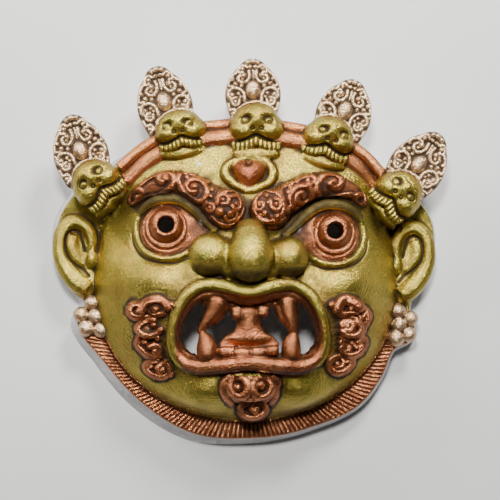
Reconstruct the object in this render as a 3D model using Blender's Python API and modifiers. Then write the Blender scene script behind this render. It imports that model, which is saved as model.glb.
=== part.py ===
"""Wall mask: a wrathful guardian's face under a crown of five skulls, cast in one piece.

The mask lies on its back. Its face looks up along +Z and its crown points along +Y.
Its carving is laid out on a drawing: u runs to the right and v towards the crown, in units of
a share of the mask's width, and the drawing is seen from a point high above the chin.
A place on it is carried up the line of sight to its height, or to the form that it lies on.
The middle of its back lies at the origin.
"""
import math

import bmesh
import bpy
from mathutils import Matrix, Vector
from mathutils.bvhtree import BVHTree

# Driving dimensions, in metres
MASK_WIDTH = 0.241  # across the two outer leaves
MASK_DEPTH = 0.080  # from the back rim to the tip of the nose
WALL = 0.006  # thickness of the cast shell
LEAF_THICKNESS = 0.0055  # of the five plates that stand free above the skulls
PUPIL_BORE = 0.0092  # width of the hole through each eye
GRAIN = 0.0008  # finest form that the solid keeps
FACE_COUNT = 9600  # triangles of the solid
FINE_SHARE = 0.025  # how much harder the finest carving is kept than the rest

# The drawing's units, the point from which it is seen, its aim, and the middle of the mask's back
WIDTH_UNITS = 386.3
DEPTH_UNITS = 128.4
UNIT = MASK_WIDTH / WIDTH_UNITS
RISE = MASK_DEPTH / DEPTH_UNITS
VIEW_U = -75
VIEW_V = -75
VIEW_HEIGHT = 1450
AIM_U = 2
MIDDLE_U = -1.7
MIDDLE_V = -5.2

# The bare face, in units
FACE_U = -3
FACE_V = -38
FACE_SIDE = 149
FACE_CHIN = 132
FACE_CROWN = 168
FACE_TOP = 74
FACE_SQUARE = 2.02
RIM_LOW = 25
RIM_HIGH = 50
RIM_SLOPE = 0.24
RIM_SPLAY = 0.2
SPLAY_AT = -132  # the direction from the face's centre in which the skirt leans most, in degrees
SPLAY_REACH = 0.75
SWELLS = (
    # u, v, half width, half length, height, squareness
    (-88, -30, 36, 22, 17, 1.0),
    (93, -32, 36, 22, 17, 1.0),
    (-104, -66, 26, 34, 8, 1.0),
    (106, -68, 26, 34, 8, 1.0),
    (0, -82, 92, 58, 22, 2.2),
    (-82, 22, 32, 27, 8, 1.6),
    (86, 16, 32, 27, 8, 1.6),
    (1, 2, 24, 36, 22, 1.0),
    (-36, -4, 20, 22, 12, 1.0),
    (40, -5, 20, 22, 12, 1.0),
    (-46, -150, 36, 16, 10, 1.2),
    (50, -150, 36, 16, 10, 1.2),
    (-132, 42, 24, 26, -6, 1.0),
    (130, 38, 24, 26, -6, 1.0),
)

# The outline of the back rim on the table, from the chin round by the left ear
RIM = (
    (0, -194), (-60, -190), (-112, -160), (-152, -115), (-175, -83), (-177, -69), (-169, -55),
    (-184, -34), (-195, -2), (-194, 26), (-184, 48), (-163, 70), (-138, 86), (-96, 108),
    (-45, 122), (5, 126), (55, 120), (96, 107), (124, 88), (150, 68), (172, 49), (184, 30),
    (187, 8), (181, -19), (171, -37), (163, -58), (168, -72), (164, -92), (147, -102),
    (136, -127), (112, -158), (64, -181),
)

# The mouth, its left half from the middle of the upper lip round to the middle of the lower
LIP_OUTER = (
    (0, -42, 6.5), (-25, -36, 7), (-44, -35, 6.5), (-59, -43, 6.5), (-71, -60, 6), (-78, -80, 5.5),
    (-78, -97, 5.5), (-71, -113, 6), (-57, -121, 6.5), (-32, -121, 6.5), (0, -118, 7),
)
LIP_INNER = (
    (0, -48, 7), (-18, -44.5, 7), (-35, -42.5, 6.5), (-51, -47, 6), (-65, -62, 4), (-72, -80, 3.5),
    (-72, -95, 3.5), (-64, -107, 5), (-50, -112, 6), (-28, -112, 6), (0, -110, 6),
)
LIP_RISE = 3
LIP_SUNK = 7
TEETH_HEIGHT = 86
TEETH_DEEP = 7
TONGUE_THICK = 12
GUMS = (
    ((-46, -50), (-20, -52), (1, -57), (22, -52), (48, -50)),
    ((-62, -103), (-48, -107), (-30, -108.5), (1, -107.5), (32, -108.5), (50, -107), (64, -103)),
)
TUSKS = (
    ((-30, -53, 9.5), (-32, -62, 9), (-36.5, -71, 8), (-41, -78, 6), (-44.5, -82.5, 3.8)),
    ((-24, -57, 6), (-27, -65, 6), (-33, -74, 5)),
    ((38, -53, 10), (40, -63, 9.3), (43.5, -73, 7.8), (46, -80, 5.8), (47.5, -84, 3.8)),
    ((31, -58, 5), (35, -68, 5.5)),
    ((-44, -84, 4), (-42, -90, 7.5), (-40, -98, 10.5), (-40, -104, 10.5)),
    ((47, -85, 4.2), (45, -91, 8), (43.5, -98, 9.8), (43.5, -104, 10)),
)
INCISORS = ((-11.4, -62.5, 5.4, 7), (1, -63.8, 7.6, 7.6), (14.6, -61.5, 6, 6.4))
LOWER_TEETH = ((-21, -101.5, 8.4), (-4.8, -102.8, 8.2), (10.8, -102, 7.8), (24.2, -100.4, 6.4))
TONGUE = (
    (-9, -66), (10, -66), (13, -76), (19, -84), (30, -91), (37, -99), (14, -101), (1, -102),
    (-12, -101), (-33, -99), (-26, -91), (-16, -84), (-11, -76),
)
TONGUE_SWELLS = ((0.5, -73, 9, 12), (1, -84, 14, 12), (1, -92, 24, 9))

# The nose: balls of the bulb from the tip to the bridge, then of the wings
NOSE_BULB = (
    # u, v, height, half width, half length, half depth
    (3, -8, 104, 21.5, 23, 24),
    (3, 0, 103, 20.5, 21.5, 23),
    (2.5, 9, 99, 17, 18, 20),
    (2, 17, 94, 12.5, 14, 17),
    (1.5, 24, 89, 9.5, 12, 13),
)
NOSE_WINGS = (
    (-38, -2, 91, 20, 20, 20),
    (-27, -4, 91, 16, 17, 16),
    (-15, -18, 92, 13, 11, 14),
    (41, -4, 91, 18.5, 20, 20),
    (31, -6, 91, 16, 17, 16),
    (20, -18, 92, 13, 11, 14),
)
NOSE_ROUNDS = 10

# The eyes, the left one; the right one is its mirror image about EYE_MIDDLE, a little lower
EYE_MIDDLE = 2
EYE_DROP = 6
PUPIL = (-82, 24.5, 73)
LID_UPPER = (
    (-108, 40, 2.6), (-98, 50, 3.2), (-84, 53.5, 3.6), (-69, 53, 3.6), (-57, 45.5, 3.4),
    (-43, 31, 3.2), (-30, 20, 2.4),
)
LID_LOWER = (
    (-108, 38, 2.4), (-112, 21, 3), (-107, 4, 3), (-95, -6, 3), (-78, -8.5, 3), (-62, -3, 2.8),
    (-50, 8, 2.4), (-36, 17, 2),
)
EYEBALL = (
    # height, radius as a share of the pupil's
    (-17, 1.0), (11.5, 1.0), (13.4, 1.1), (14, 1.3), (13, 1.6), (10.6, 1.95), (8.4, 2.2),
    (5.6, 2.32), (6.8, 2.5), (6.4, 2.75), (3.8, 2.9), (4.8, 3.1), (3.4, 3.38), (-1, 3.6),
    (-9, 3.66), (-17, 3.6),
)

# The brows, left one: centre line and half width
BROW_MIDDLE = -0.5
BROW_DROP = 1
BROW = (
    (-118, 48, 5), (-101, 61, 9), (-80, 66, 13), (-58, 62, 14), (-40, 52, 15), (-23, 41, 18),
)
BROW_SCROLLS = (
    # u, v, radius, start angle, hand
    (-106, 57, 6, 200, 1), (-81, 70, 10.5, 150, -1), (-56, 62, 12, 200, 1), (-41, 44, 5, 60, 1),
    (-25, 50, 7.5, 120, 1), (-13, 43, 6.5, 20, -1), (-32, 36, 6.5, 180, 1), (-18, 31, 6.5, 300, -1),
)

# The third eye: its rim and the drop in it
THIRD_RIM_RADIUS = 4.6
THIRD_RIM = (
    (-26.5, 74), (-25, 82), (-18.5, 88), (-8, 91), (8, 91), (18.5, 88), (25, 82), (26.5, 74),
    (21.5, 66), (11.5, 59.5), (0.8, 56), (-10, 59.5), (-20.5, 66),
)
DROP = ((1, 80, 17, 11, 11), (1, 74, 12.5, 10, 10.5), (0.8, 68, 6.5, 8, 8.5), (0.6, 64, 3, 5, 6))

# The crown: skulls as u, v and turn in degrees; leaves also by how far their tips are drawn out
SKULLS = ((6, 130, 0), (-69, 122, 6), (81, 118, -8), (-155, 68, 41), (153, 57, -45))
LEAVES = (
    (5, 161, 1, 1), (-84, 148, 14, 1.17), (97, 139, -19, 1.05), (-168, 99, 16, 1.2),
    (172, 86, -35, 1.22),
)
SKULL_HEIGHT = 60
SKULL_TEETH = 7
LEAF_HEIGHT = 56
LEAF_HALF = ((0, 31), (8, 27), (16, 19.5), (23, 11), (27.5, 0), (27, -12), (24, -24), (20, -33))
CABOCHON = (7.2, 9.4, 5.5)
LEAF_SCROLLS = (
    (18, -9, 8.5, 90, 1), (17, 9, 7.5, 60, 1), (8, 20, 6, 30, 1), (20, -23, 6, 60, 1),
)
BAND = (
    (-129, 82), (-99, 106), (-62, 120), (-28, 125), (5, 127), (46, 122), (86, 112), (114, 97),
    (134, 76),
)
BAND_HEIGHT = 55
BAND_RADIUS = 6.2
BAND_INNER_RADIUS = 6.5

# The left ear, and the beads below each ear
EAR_MIDDLE = -4
EAR_DROP = 6
HELIX = (
    (-157, 0, 5), (-157, 13, 6.5), (-163, 24, 7.5), (-174, 28, 8), (-184, 20, 8), (-188, 5, 7.5),
    (-186, -10, 8), (-178, -24, 10), (-168, -34, 11), (-160, -39, 9),
)
ANTIHELIX = ((-174, 15, 6.5), (-176.5, 5, 8), (-173, -5, 7.5), (-165, -15, 4.5))
EAR_BODY = (
    # u, v, half width, half length, half depth: the plate of the ear, its lobe and its flap
    (-171, -2, 20, 32, 6), (-164, -32, 14, 16, 7), (-156, -9, 6, 11, 10),
)
BEADS = (
    (-156.5, -53, 7.4), (-167, -64.5, 7.8), (-152.5, -66.5, 8), (-161.5, -78.5, 8.3),
    (-146.5, -80, 8.3),
    (150, -61, 8), (162.5, -68.5, 7.8), (151, -75, 8.2), (148, -88, 8.6), (161, -84.5, 7.8),
)
EAR_HEIGHT = 27
BEAD_HEIGHT = 28

# Locks at the corners of the mouth, the left side: scrolls and beads
LOCK_MIDDLE = 2
LOCK_DROP = -3
LOCKS = (
    (-111, -62, 9, 250, 1), (-94, -57, 11, 190, 1), (-101, -80, 10, 60, -1), (-105, -95, 7.5, 80, -1),
    (-93, -102, 8.5, 100, 1), (-96, -116, 7, 80, -1), (-86, -121, 8, 60, 1),
)
LOCK_BEADS = ((-77, -54, 3.2), (-93, -60, 4), (-90, -90, 3.2), (-77, -124, 3.2))
TUFT = (
    (-10, -136, 11, 90, -1), (14, -136, 11.5, 90, 1), (6, -160, 11.5, 120, 1),
)
TUFT_STRANDS = (
    ((-24, -128), (-25, -140), (-17, -153)), ((27, -128), (28, -140), (22, -153)),
    ((-5, -127), (2, -128), (9, -127)),
)

RIB_COUNT = 66
RIB_FROM = 198
RIB_TO = 341
RIB_SWEEP = 7


def over(u, v, height):
    """The point over a place of the plan."""
    return Vector(((u - MIDDLE_U) * UNIT, (v - MIDDLE_V) * UNIT, height * RISE))


def plan(point):
    """The place of the plan under a point, in units."""
    return point.x / UNIT + MIDDLE_U, point.y / UNIT + MIDDLE_V


# The line of sight down the middle of the drawing, and the axes square to it
EYE = over(VIEW_U, VIEW_V, VIEW_HEIGHT)
REACH = (over(AIM_U, 0, 0) - EYE).length
AHEAD = (over(AIM_U, 0, 0) - EYE).normalized()
RIGHT = AHEAD.cross(Vector((0, 1, 0))).normalized()
UP = RIGHT.cross(AHEAD)


def ray(u, v):
    """The way from the eye to the place that the drawing shows at u, v."""
    return AHEAD * REACH + (RIGHT * (u - AIM_U) + UP * v) * UNIT


def place(u, v, height):
    """The point at a height, in units, that the drawing shows at u, v."""
    way = ray(u, v)
    return EYE + way * ((height * RISE - EYE.z) / way.z)


def on_face(u, v, rise):
    """The point some units above the bare face that the drawing shows at u, v."""
    height = FACE_TOP
    for guess in range(3):
        height = face_height(*plan(place(u, v, height))) + rise
    return place(u, v, height)


def touch(forms, u, v):
    """The point on the forms that the drawing shows at u, v, or none beside them."""
    point, normal, index, distance = forms.ray_cast(EYE, ray(u, v))
    return point


def mirrored(row, middle, drop):
    """A drawing row on the other side of a middle line, lower by a drop."""
    return (2 * middle - row[0], row[1] - drop) + tuple(row[2:])


def both_sides(rows, middle, drop):
    """The left rows and the mirrored ones, as two lists."""
    return [list(rows), [mirrored(row, middle, drop) for row in rows]]


def ring_of(half, middle):
    """A closed path from its left half, which starts and ends on the middle line."""
    right = [mirrored(row, middle, 0) for row in half[1:-1]]
    return list(half) + right[::-1]


def pour(lump, mesh):
    """Adds a mesh to a lump, and lets the mesh go."""
    lump.from_mesh(mesh)
    bpy.data.meshes.remove(mesh)


def ball(lump, centre, radii, turn=0, seed="ball"):
    """An ellipsoid with radii in units, turned about the upright."""
    size = Matrix.Diagonal((radii[0] * UNIT, radii[1] * UNIT, radii[2] * UNIT, 1))
    mesh = bpy.data.meshes[seed].copy()
    mesh.transform(Matrix.Translation(centre) @ Matrix.Rotation(math.radians(turn), 4, 'Z') @ size)
    pour(lump, mesh)


def horn(lump, knots, height):
    """A smooth tapered horn through knots of u, v and radius."""
    steps = 4
    for first, last in zip(knots, knots[1:]):
        for step in range(steps + 1):
            share = step / steps
            u, v, radius = (a + (b - a) * share for a, b in zip(first, last))
            ball(lump, place(u, v, height), (radius, radius, radius))


def new_rolls():
    """An empty curve whose strokes become round rolls, with radii in units."""
    curve = bpy.data.curves.new("rolls", 'CURVE')
    curve.dimensions = '3D'
    curve.bevel_depth = UNIT
    curve.bevel_resolution = 2
    curve.resolution_u = 5
    curve.use_fill_caps = True
    return curve


def roll(rolls, points, radii, closed=False):
    """One smooth stroke through points."""
    spline = rolls.splines.new('BEZIER')
    spline.bezier_points.add(len(points) - 1)
    for knot, point, radius in zip(spline.bezier_points, points, radii):
        knot.co = point
        knot.radius = radius
        knot.handle_left_type = 'AUTO'
        knot.handle_right_type = 'AUTO'
    spline.use_cyclic_u = closed


def scroll(rolls, lump, spot, radius, start, hand, thick):
    """A spiral stroke that winds in to a bead; spot(a, b) gives the point beside its centre."""
    steps = 11
    proud = Vector((0, 0, 0.5 * thick * UNIT))
    points = []
    radii = []
    for step in range(steps):
        share = step / (steps - 1)
        angle = math.radians(start) + hand * share * math.radians(430)
        reach = radius * (1 - 0.72 * share)
        point = spot(reach * math.cos(angle), reach * math.sin(angle))
        if point is not None:
            points.append(point + proud)
            radii.append(thick * (0.75 + 0.5 * math.sin(math.pi * min(1, share * 1.3))))
    if len(points) > 2:
        roll(rolls, points, radii)
    middle = spot(0, 0)
    if middle is not None:
        ball(lump, middle + proud, (thick * 1.5, thick * 1.5, thick * 1.7))


def melt_rolls(rolls, lump):
    """Adds a curve's strokes to a lump as closed tubes."""
    holder = bpy.data.objects.new("rolls", rolls)
    pour(lump, bpy.data.meshes.new_from_object(holder))
    bpy.data.objects.remove(holder)
    bpy.data.curves.remove(rolls)
    bmesh.ops.remove_doubles(lump, verts=lump.verts, dist=1e-6)


def slab(lump, outline, height, thickness):
    """A flat plate with a smooth outline in the drawing, its upper side at a height."""
    curve = bpy.data.curves.new("slab", 'CURVE')
    curve.dimensions = '2D'
    curve.fill_mode = 'BOTH'
    curve.extrude = thickness / 2
    spline = curve.splines.new('BEZIER')
    spline.bezier_points.add(len(outline) - 1)
    for knot, (u, v) in zip(spline.bezier_points, outline):
        point = place(u, v, height)
        knot.co = (point.x, point.y, 0)
        knot.handle_left_type = 'AUTO'
        knot.handle_right_type = 'AUTO'
    spline.use_cyclic_u = True
    holder = bpy.data.objects.new("slab", curve)
    mesh = bpy.data.meshes.new_from_object(holder)
    mesh.transform(Matrix.Translation((0, 0, height * RISE - thickness / 2)))
    bpy.data.objects.remove(holder)
    bpy.data.curves.remove(curve)
    pour(lump, mesh)


def smooth_step(value, low, high):
    """Rises from 0 to 1 between two limits, without corners."""
    share = min(1, max(0, (value - low) / (high - low)))
    return share * share * (3 - 2 * share)


def rim_knots():
    """The rim's outline as angle and radius about the face's centre, in order of angle."""
    rows = []
    for u, v in RIM:
        x, y = plan(place(u, v, 0))
        angle = math.atan2(y - FACE_V, x - FACE_U)
        rows.append((angle, math.hypot(x - FACE_U, y - FACE_V)))
    return sorted(rows)


def rim_radius(knots, angle):
    """Radius of the rim at an angle, on a smooth closed curve through its knots."""
    count = len(knots)
    after = next((index for index in range(count) if knots[index][0] > angle), count)
    rows = []
    for index in range(after - 2, after + 2):
        turns = index // count
        rows.append((knots[index % count][0] + turns * math.tau, knots[index % count][1]))
    (a0, r0), (a1, r1), (a2, r2), (a3, r3) = rows
    span = a2 - a1
    share = (angle - a1) / span
    slope1 = (r2 - r0) / (a2 - a0) * span
    slope2 = (r3 - r1) / (a3 - a1) * span
    square = share * share
    cube = square * share
    value = (2 * cube - 3 * square + 1) * r1 + (cube - 2 * square + share) * slope1
    return value + (3 * square - 2 * cube) * r2 + (cube - square) * slope2


def rim_height(angle):
    """Height of the shell's edge: low at the jaw and the ears, higher behind the crown."""
    return RIM_LOW + (RIM_HIGH - RIM_LOW) * smooth_step(math.sin(angle), 0.3, 0.75)


def rim_slope(angle):
    """How far the skirt leans in for each unit of height: most below the left ear."""
    apart = math.remainder(angle - math.radians(SPLAY_AT), math.tau)
    return RIM_SLOPE + RIM_SPLAY * math.exp(-(apart / SPLAY_REACH) ** 2)


def face_height(x, y):
    """Height of the bare face above the rim, in units, at a plan place in units."""
    across = x - FACE_U
    along = y - FACE_V
    reach = FACE_CROWN if along > 0 else FACE_CHIN
    out = abs(across / FACE_SIDE) ** FACE_SQUARE + abs(along / reach) ** FACE_SQUARE
    edge = rim_height(math.atan2(along, across))
    height = edge
    if out < 1:
        height += (FACE_TOP - edge) * (1 - out ** 1.2) ** 0.6
        for u, v, wide, long, swell, square in SWELLS:
            far = ((x - u) / wide) ** 2 + ((y - v) / long) ** 2
            height += swell * math.exp(-far ** square) * smooth_step(1 - out, 0, 0.15)
    return height


def inside(outline, x, y):
    """Whether a plan place lies inside an outline."""
    crossings = 0
    for (x1, y1), (x2, y2) in zip(outline, outline[1:] + outline[:1]):
        if (y1 > y) != (y2 > y) and x < x1 + (x2 - x1) * (y - y1) / (y2 - y1):
            crossings += 1
    return crossings % 2 == 1


def pupils():
    """Both pupils as drawing rows."""
    return [PUPIL, mirrored(PUPIL, EYE_MIDDLE, EYE_DROP)]


def open_shell():
    """The bare face, its brim and its skirt as one skin, open at the mouth, pupils and back."""
    skin = bmesh.new()
    rings, skirt, spokes = 76, 10, 216
    spine = [skin.verts.new((step, 0, 0)) for step in range(rings + skirt + 1)]
    edges = [skin.edges.new(pair) for pair in zip(spine, spine[1:])]
    bmesh.ops.spin(skin, geom=spine + edges, cent=(0, 0, 0), axis=(0, 0, 1), dvec=(0, 0, 0),
                   angle=math.tau, steps=spokes, use_merge=True)
    bmesh.ops.remove_doubles(skin, verts=skin.verts, dist=1e-3)
    knots = rim_knots()
    sink = 6
    for vert in skin.verts:
        ring = vert.co.length
        angle = math.atan2(vert.co.y, vert.co.x)
        edge = rim_height(angle)
        outer = rim_radius(knots, angle)
        slope = rim_slope(angle)
        inner = outer - slope * edge
        if ring <= rings:
            reach = inner * ring / rings
            x = FACE_U + reach * math.cos(angle)
            y = FACE_V + reach * math.sin(angle)
            height = face_height(x, y)
        else:
            share = (ring - rings) / skirt
            height = edge - (edge + sink) * share
            reach = outer - slope * height
            x = FACE_U + reach * math.cos(angle)
            y = FACE_V + reach * math.sin(angle)
        vert.co = over(x, y, height)
    mouth = [on_face(row[0], row[1], LIP_RISE) for row in ring_of(LIP_INNER, 0.5)]
    mouth = [(point.x, point.y) for point in mouth]
    eyes = [place(*row) for row in pupils()]
    gone = []
    for face in skin.faces:
        centre = face.calc_center_median()
        near = any((centre.xy - eye.xy).length < PUPIL_BORE * 0.75 for eye in eyes)
        if near or inside(mouth, centre.x, centre.y):
            gone.append(face)
    bmesh.ops.delete(skin, geom=gone, context='FACES')
    bmesh.ops.recalc_face_normals(skin, faces=skin.faces)
    skin.faces.ensure_lookup_table()
    if sum(face.normal.z for face in skin.faces) < 0:
        bmesh.ops.reverse_faces(skin, faces=skin.faces)
    return skin


def evaluated_mesh(item):
    """A mesh of what an object's modifiers make of it; the object is removed."""
    bpy.context.scene.collection.objects.link(item)
    bpy.context.view_layer.update()
    seen = item.evaluated_get(bpy.context.evaluated_depsgraph_get())
    mesh = bpy.data.meshes.new_from_object(seen)
    bpy.data.objects.remove(item)
    return mesh


def settled(lump):
    """A lump's mesh with its faces in a fixed order, each from its lowest corner."""
    lump.verts.index_update()
    corners = []
    for face in lump.faces:
        ring = [vert.index for vert in face.verts]
        low = ring.index(min(ring))
        corners.append(ring[low:] + ring[:low])
    mesh = bpy.data.meshes.new("settled")
    mesh.from_pydata([vert.co for vert in lump.verts], [], sorted(corners))
    lump.free()
    return mesh


def add_shell(lump):
    """The skin with its wall, added to a lump."""
    item = bpy.data.objects.new("shell", settled(open_shell()))
    wall = item.modifiers.new("wall", 'SOLIDIFY')
    wall.thickness = WALL
    wall.offset = -1
    wall.use_even_offset = True
    pour(lump, evaluated_mesh(item))


def add_nose(lump, rolls):
    """A heavy bulb that rises from the bridge, with a round wing on each side."""
    for u, v, height, wide, long, deep in NOSE_BULB + NOSE_WINGS:
        ball(lump, place(u, v, height), (wide, long, deep))
    for side in (-1, 1):
        path = ((50, -14), (42, -23), (29, -27), (15, -28))
        roll(rolls, [place(2 + side * u, v, 90) for u, v in path], (3, 4.5, 5.5, 5))


def add_mouth(lump, rolls):
    """Two rolled lips round a wide open mouth, with tusks, teeth and tongue across it."""
    for half, sunk in ((LIP_OUTER, 0), (LIP_INNER, LIP_SUNK)):
        path = ring_of(half, 0.5)
        points = [on_face(u, v, LIP_RISE - sunk) for u, v, radius in path]
        roll(rolls, points, [row[2] for row in path], closed=True)
    for gum in GUMS:
        roll(rolls, [place(u, v, TEETH_HEIGHT - 4) for u, v in gum], [5.5] * len(gum))
    for tusk in TUSKS:
        horn(lump, tusk, TEETH_HEIGHT - 1)
    for u, v, wide, long in INCISORS:
        ball(lump, place(u, v, TEETH_HEIGHT), (wide, long, TEETH_DEEP), seed="pillow")
    for u, v, wide in LOWER_TEETH:
        ball(lump, place(u, v, TEETH_HEIGHT + 1), (wide, 5.3, TEETH_DEEP), seed="pillow")
    slab(lump, TONGUE, TEETH_HEIGHT + 1, TONGUE_THICK * RISE)
    for u, v, wide, long in TONGUE_SWELLS:
        ball(lump, place(u, v, TEETH_HEIGHT - 2), (wide, long, 9))


def add_eyes(lump, rolls):
    """Bulging ringed eyeballs with an open pupil, between rolled lids."""
    eye = bmesh.new()
    rows = [eye.verts.new((PUPIL_BORE / 2 * out, 0, height * RISE)) for height, out in EYEBALL]
    edges = [eye.edges.new(pair) for pair in zip(rows, rows[1:] + rows[:1])]
    bmesh.ops.spin(eye, geom=rows + edges, cent=(0, 0, 0), axis=(0, 0, 1), dvec=(0, 0, 0),
                   angle=math.tau, steps=40, use_merge=True)
    bmesh.ops.recalc_face_normals(eye, faces=eye.faces)
    for pupil in pupils():
        mesh = bpy.data.meshes.new("eye")
        eye.to_mesh(mesh)
        mesh.transform(Matrix.Translation(place(*pupil)))
        pour(lump, mesh)
    eye.free()
    for lid in (LID_UPPER, LID_LOWER):
        for rows in both_sides(lid, EYE_MIDDLE, EYE_DROP):
            points = [on_face(u, v, 0.7 * radius) for u, v, radius in rows]
            roll(rolls, points, [row[2] for row in rows])


def add_tuft(lump):
    """The low mass under the curls of the chin, and those under the locks beside the mouth."""
    ball(lump, on_face(2, -140, 1), (27, 16, 10))
    ball(lump, on_face(3, -158, 1), (15, 13, 11))
    for rows in both_sides(LOCKS, LOCK_MIDDLE, LOCK_DROP):
        for u, v, radius, start, hand in rows:
            ball(lump, on_face(u, v, 0), (radius, radius * 0.85, 5))


def add_brows(lump, rolls):
    """The rounded masses of the brows, which swell towards the nose."""
    for rows in both_sides(BROW, BROW_MIDDLE, BROW_DROP):
        points = [on_face(u, v, 0.35 * radius) for u, v, radius in rows]
        roll(rolls, points, [row[2] for row in rows])
        ball(lump, points[-1], (19.5, 19.5, 17))


def add_third_eye(lump, rolls):
    """A drop in a recess, in a raised rim on the forehead."""
    points = [on_face(u, v, 1.5) for u, v in THIRD_RIM]
    roll(rolls, points, [THIRD_RIM_RADIUS] * len(points), closed=True)
    for u, v, wide, long, deep in DROP:
        ball(lump, on_face(u, v, 1), (wide, long, deep))


def add_band(rolls):
    """A smooth roll round the forehead, with a broader low band inside it."""
    roll(rolls, [place(u, v, BAND_HEIGHT) for u, v in BAND], [BAND_RADIUS] * len(BAND))
    inner = [(u * 0.94, v - 13) for u, v in BAND]
    roll(rolls, [on_face(u, v, 1) for u, v in inner], [BAND_INNER_RADIUS] * len(inner))


def turned(u, v, turn, a, b):
    """A drawing place beside u, v, in axes turned by some degrees."""
    cosine = math.cos(math.radians(turn))
    sine = math.sin(math.radians(turn))
    return u + a * cosine - b * sine, v + a * sine + b * cosine


def add_skulls(lump, rolls):
    """Five grinning skulls on the band, wide in the dome, with a bow of teeth."""
    for u, v, turn in SKULLS:
        ball(lump, place(u, v + 1.5, SKULL_HEIGHT), (26, 16.5, 18), turn)
        for side in (-1, 1):
            cheek = turned(u, v, turn, 13 * side, -5)
            ball(lump, place(*cheek, SKULL_HEIGHT), (12.5, 9.5, 16), turn)
        ball(lump, place(*turned(u, v, turn, 0, -15), SKULL_HEIGHT - 2), (24, 9, 12), turn)
        jaw = [turned(u, v, turn, a, b) for a, b in
               ((-22, -19), (-12, -23.5), (0, -24.5), (12, -23.5), (22, -19))]
        roll(rolls, [place(a, b, SKULL_HEIGHT - 2) for a, b in jaw], (3.5, 4.5, 5, 4.5, 3.5))
        collar = turned(u, v, turn, 0, -31)
        ball(lump, on_face(*collar, 0), (25, 6, 4), turn)
        for tooth in range(SKULL_TEETH):
            step = 2 * tooth / (SKULL_TEETH - 1) - 1
            root = turned(u, v, turn, step * 20, -17.5 + 1.5 * step * step)
            height = SKULL_HEIGHT + 8 - 6 * step * step
            ball(lump, place(*root, height), (3.1, 5.4, 6.4), turn, seed="pillow")


def leaf_place(leaf, a, b):
    """A drawing place on a leaf, across and along it; the leaf's tip may be drawn out."""
    u, v, turn, stretch = leaf
    return turned(u, v, turn, a, b * stretch if b > 0 else b)


def add_leaves(lump):
    """Five free plates with a pointed tip, and a smooth oval boss on each."""
    for leaf in LEAVES:
        half = list(LEAF_HALF)
        outline = half + [(-a, b) for a, b in half[:0:-1]]
        slab(lump, [leaf_place(leaf, a, b) for a, b in outline], LEAF_HEIGHT, LEAF_THICKNESS)
        ball(lump, place(leaf[0], leaf[1], LEAF_HEIGHT), CABOCHON, leaf[2])


def add_ears(lump, rolls):
    """Low ears with a broad outer roll and an inner fold, and a cluster of beads under each."""
    for rows in both_sides(HELIX, EAR_MIDDLE, EAR_DROP):
        roll(rolls, [place(u, v, EAR_HEIGHT) for u, v, radius in rows], [row[2] for row in rows])
    for rows in both_sides(ANTIHELIX, EAR_MIDDLE, EAR_DROP):
        roll(rolls, [place(u, v, EAR_HEIGHT) for u, v, radius in rows], [row[2] for row in rows])
    for rows in both_sides(EAR_BODY, EAR_MIDDLE, EAR_DROP):
        for u, v, wide, long, deep in rows:
            ball(lump, place(u, v, EAR_HEIGHT - 2), (wide, long, deep))
    for u, v, radius in BEADS:
        ball(lump, place(u, v, BEAD_HEIGHT), (radius, radius, radius))


def add_ribs(rolls):
    """The beard as a fringe of fine ribs between the jaw and the edge."""
    knots = rim_knots()
    for rib in range(RIB_COUNT):
        share = rib / (RIB_COUNT - 1)
        angle = RIB_FROM + (RIB_TO - RIB_FROM) * share
        lean = RIB_SWEEP * (1 if share > 0.5 else -1)
        points = []
        for out in (0, 0.5, 1):
            turn = math.radians(angle + lean * out * min(1, abs(share - 0.5) * 8))
            inner = 1 / ((abs(math.cos(turn)) / FACE_SIDE) ** FACE_SQUARE
                         + (abs(math.sin(turn)) / FACE_CHIN) ** FACE_SQUARE) ** (1 / FACE_SQUARE)
            wrapped = math.atan2(math.sin(turn), math.cos(turn))
            outer = rim_radius(knots, wrapped) - rim_slope(wrapped) * RIM_LOW - 1
            reach = inner + (outer - inner) * out
            x = FACE_U + reach * math.cos(turn)
            y = FACE_V + reach * math.sin(turn)
            points.append(over(x, y, RIM_LOW + 2))
        roll(rolls, points, (2.2, 2.6, 2.2))


def add_carving(lump, rolls, forms):
    """Scrolls on the brows, the leaves, the cheeks and the chin, laid on the forms."""
    def stroke(u, v, radius, start, hand, thick, turn=0):
        def spot(a, b):
            return touch(forms, *turned(u, v, turn, a, b))
        scroll(rolls, lump, spot, radius, start, hand, thick)

    for rows in both_sides(BROW_SCROLLS, BROW_MIDDLE, BROW_DROP):
        side = -1 if rows[0][0] > 0 else 1
        for u, v, radius, start, hand in rows:
            stroke(u, v, radius, start if side == 1 else 180 - start, hand * side, 2.3)
    for leaf in LEAVES:
        for side in (-1, 1):
            for a, b, radius, start, hand in LEAF_SCROLLS:
                centre = leaf_place(leaf, a * side, b)
                begin = start if side == 1 else 180 - start
                stroke(*centre, radius, begin, hand * side, 2.3, leaf[2])
    for rows in both_sides(LOCKS, LOCK_MIDDLE, LOCK_DROP):
        side = -1 if rows[0][0] > 0 else 1
        for u, v, radius, start, hand in rows:
            stroke(u, v, radius, start if side == 1 else 180 - start, hand * side, 3)
    for rows in both_sides(LOCK_BEADS, LOCK_MIDDLE, LOCK_DROP):
        for u, v, radius in rows:
            ball(lump, touch(forms, u, v), (radius, radius, radius))
    for u, v, radius, start, hand in TUFT:
        stroke(u, v, radius, start, hand, 3.6)
    for strand in TUFT_STRANDS:
        roll(rolls, [touch(forms, u, v) for u, v in strand], (3, 4, 2.5))


def dents():
    """Hollows pressed into the solid: centre, half width, half length, depth and turn."""
    rows = []
    for u, v, turn in SKULLS:
        for side in (-1, 1):
            rows.append((*turned(u, v, turn, 11 * side, 1), 6.5, 5, 9, turn - 25 * side))
            rows.append((*turned(u, v, turn, 4 * side, -7), 2.2, 2.4, 5, turn))
    return rows


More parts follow.
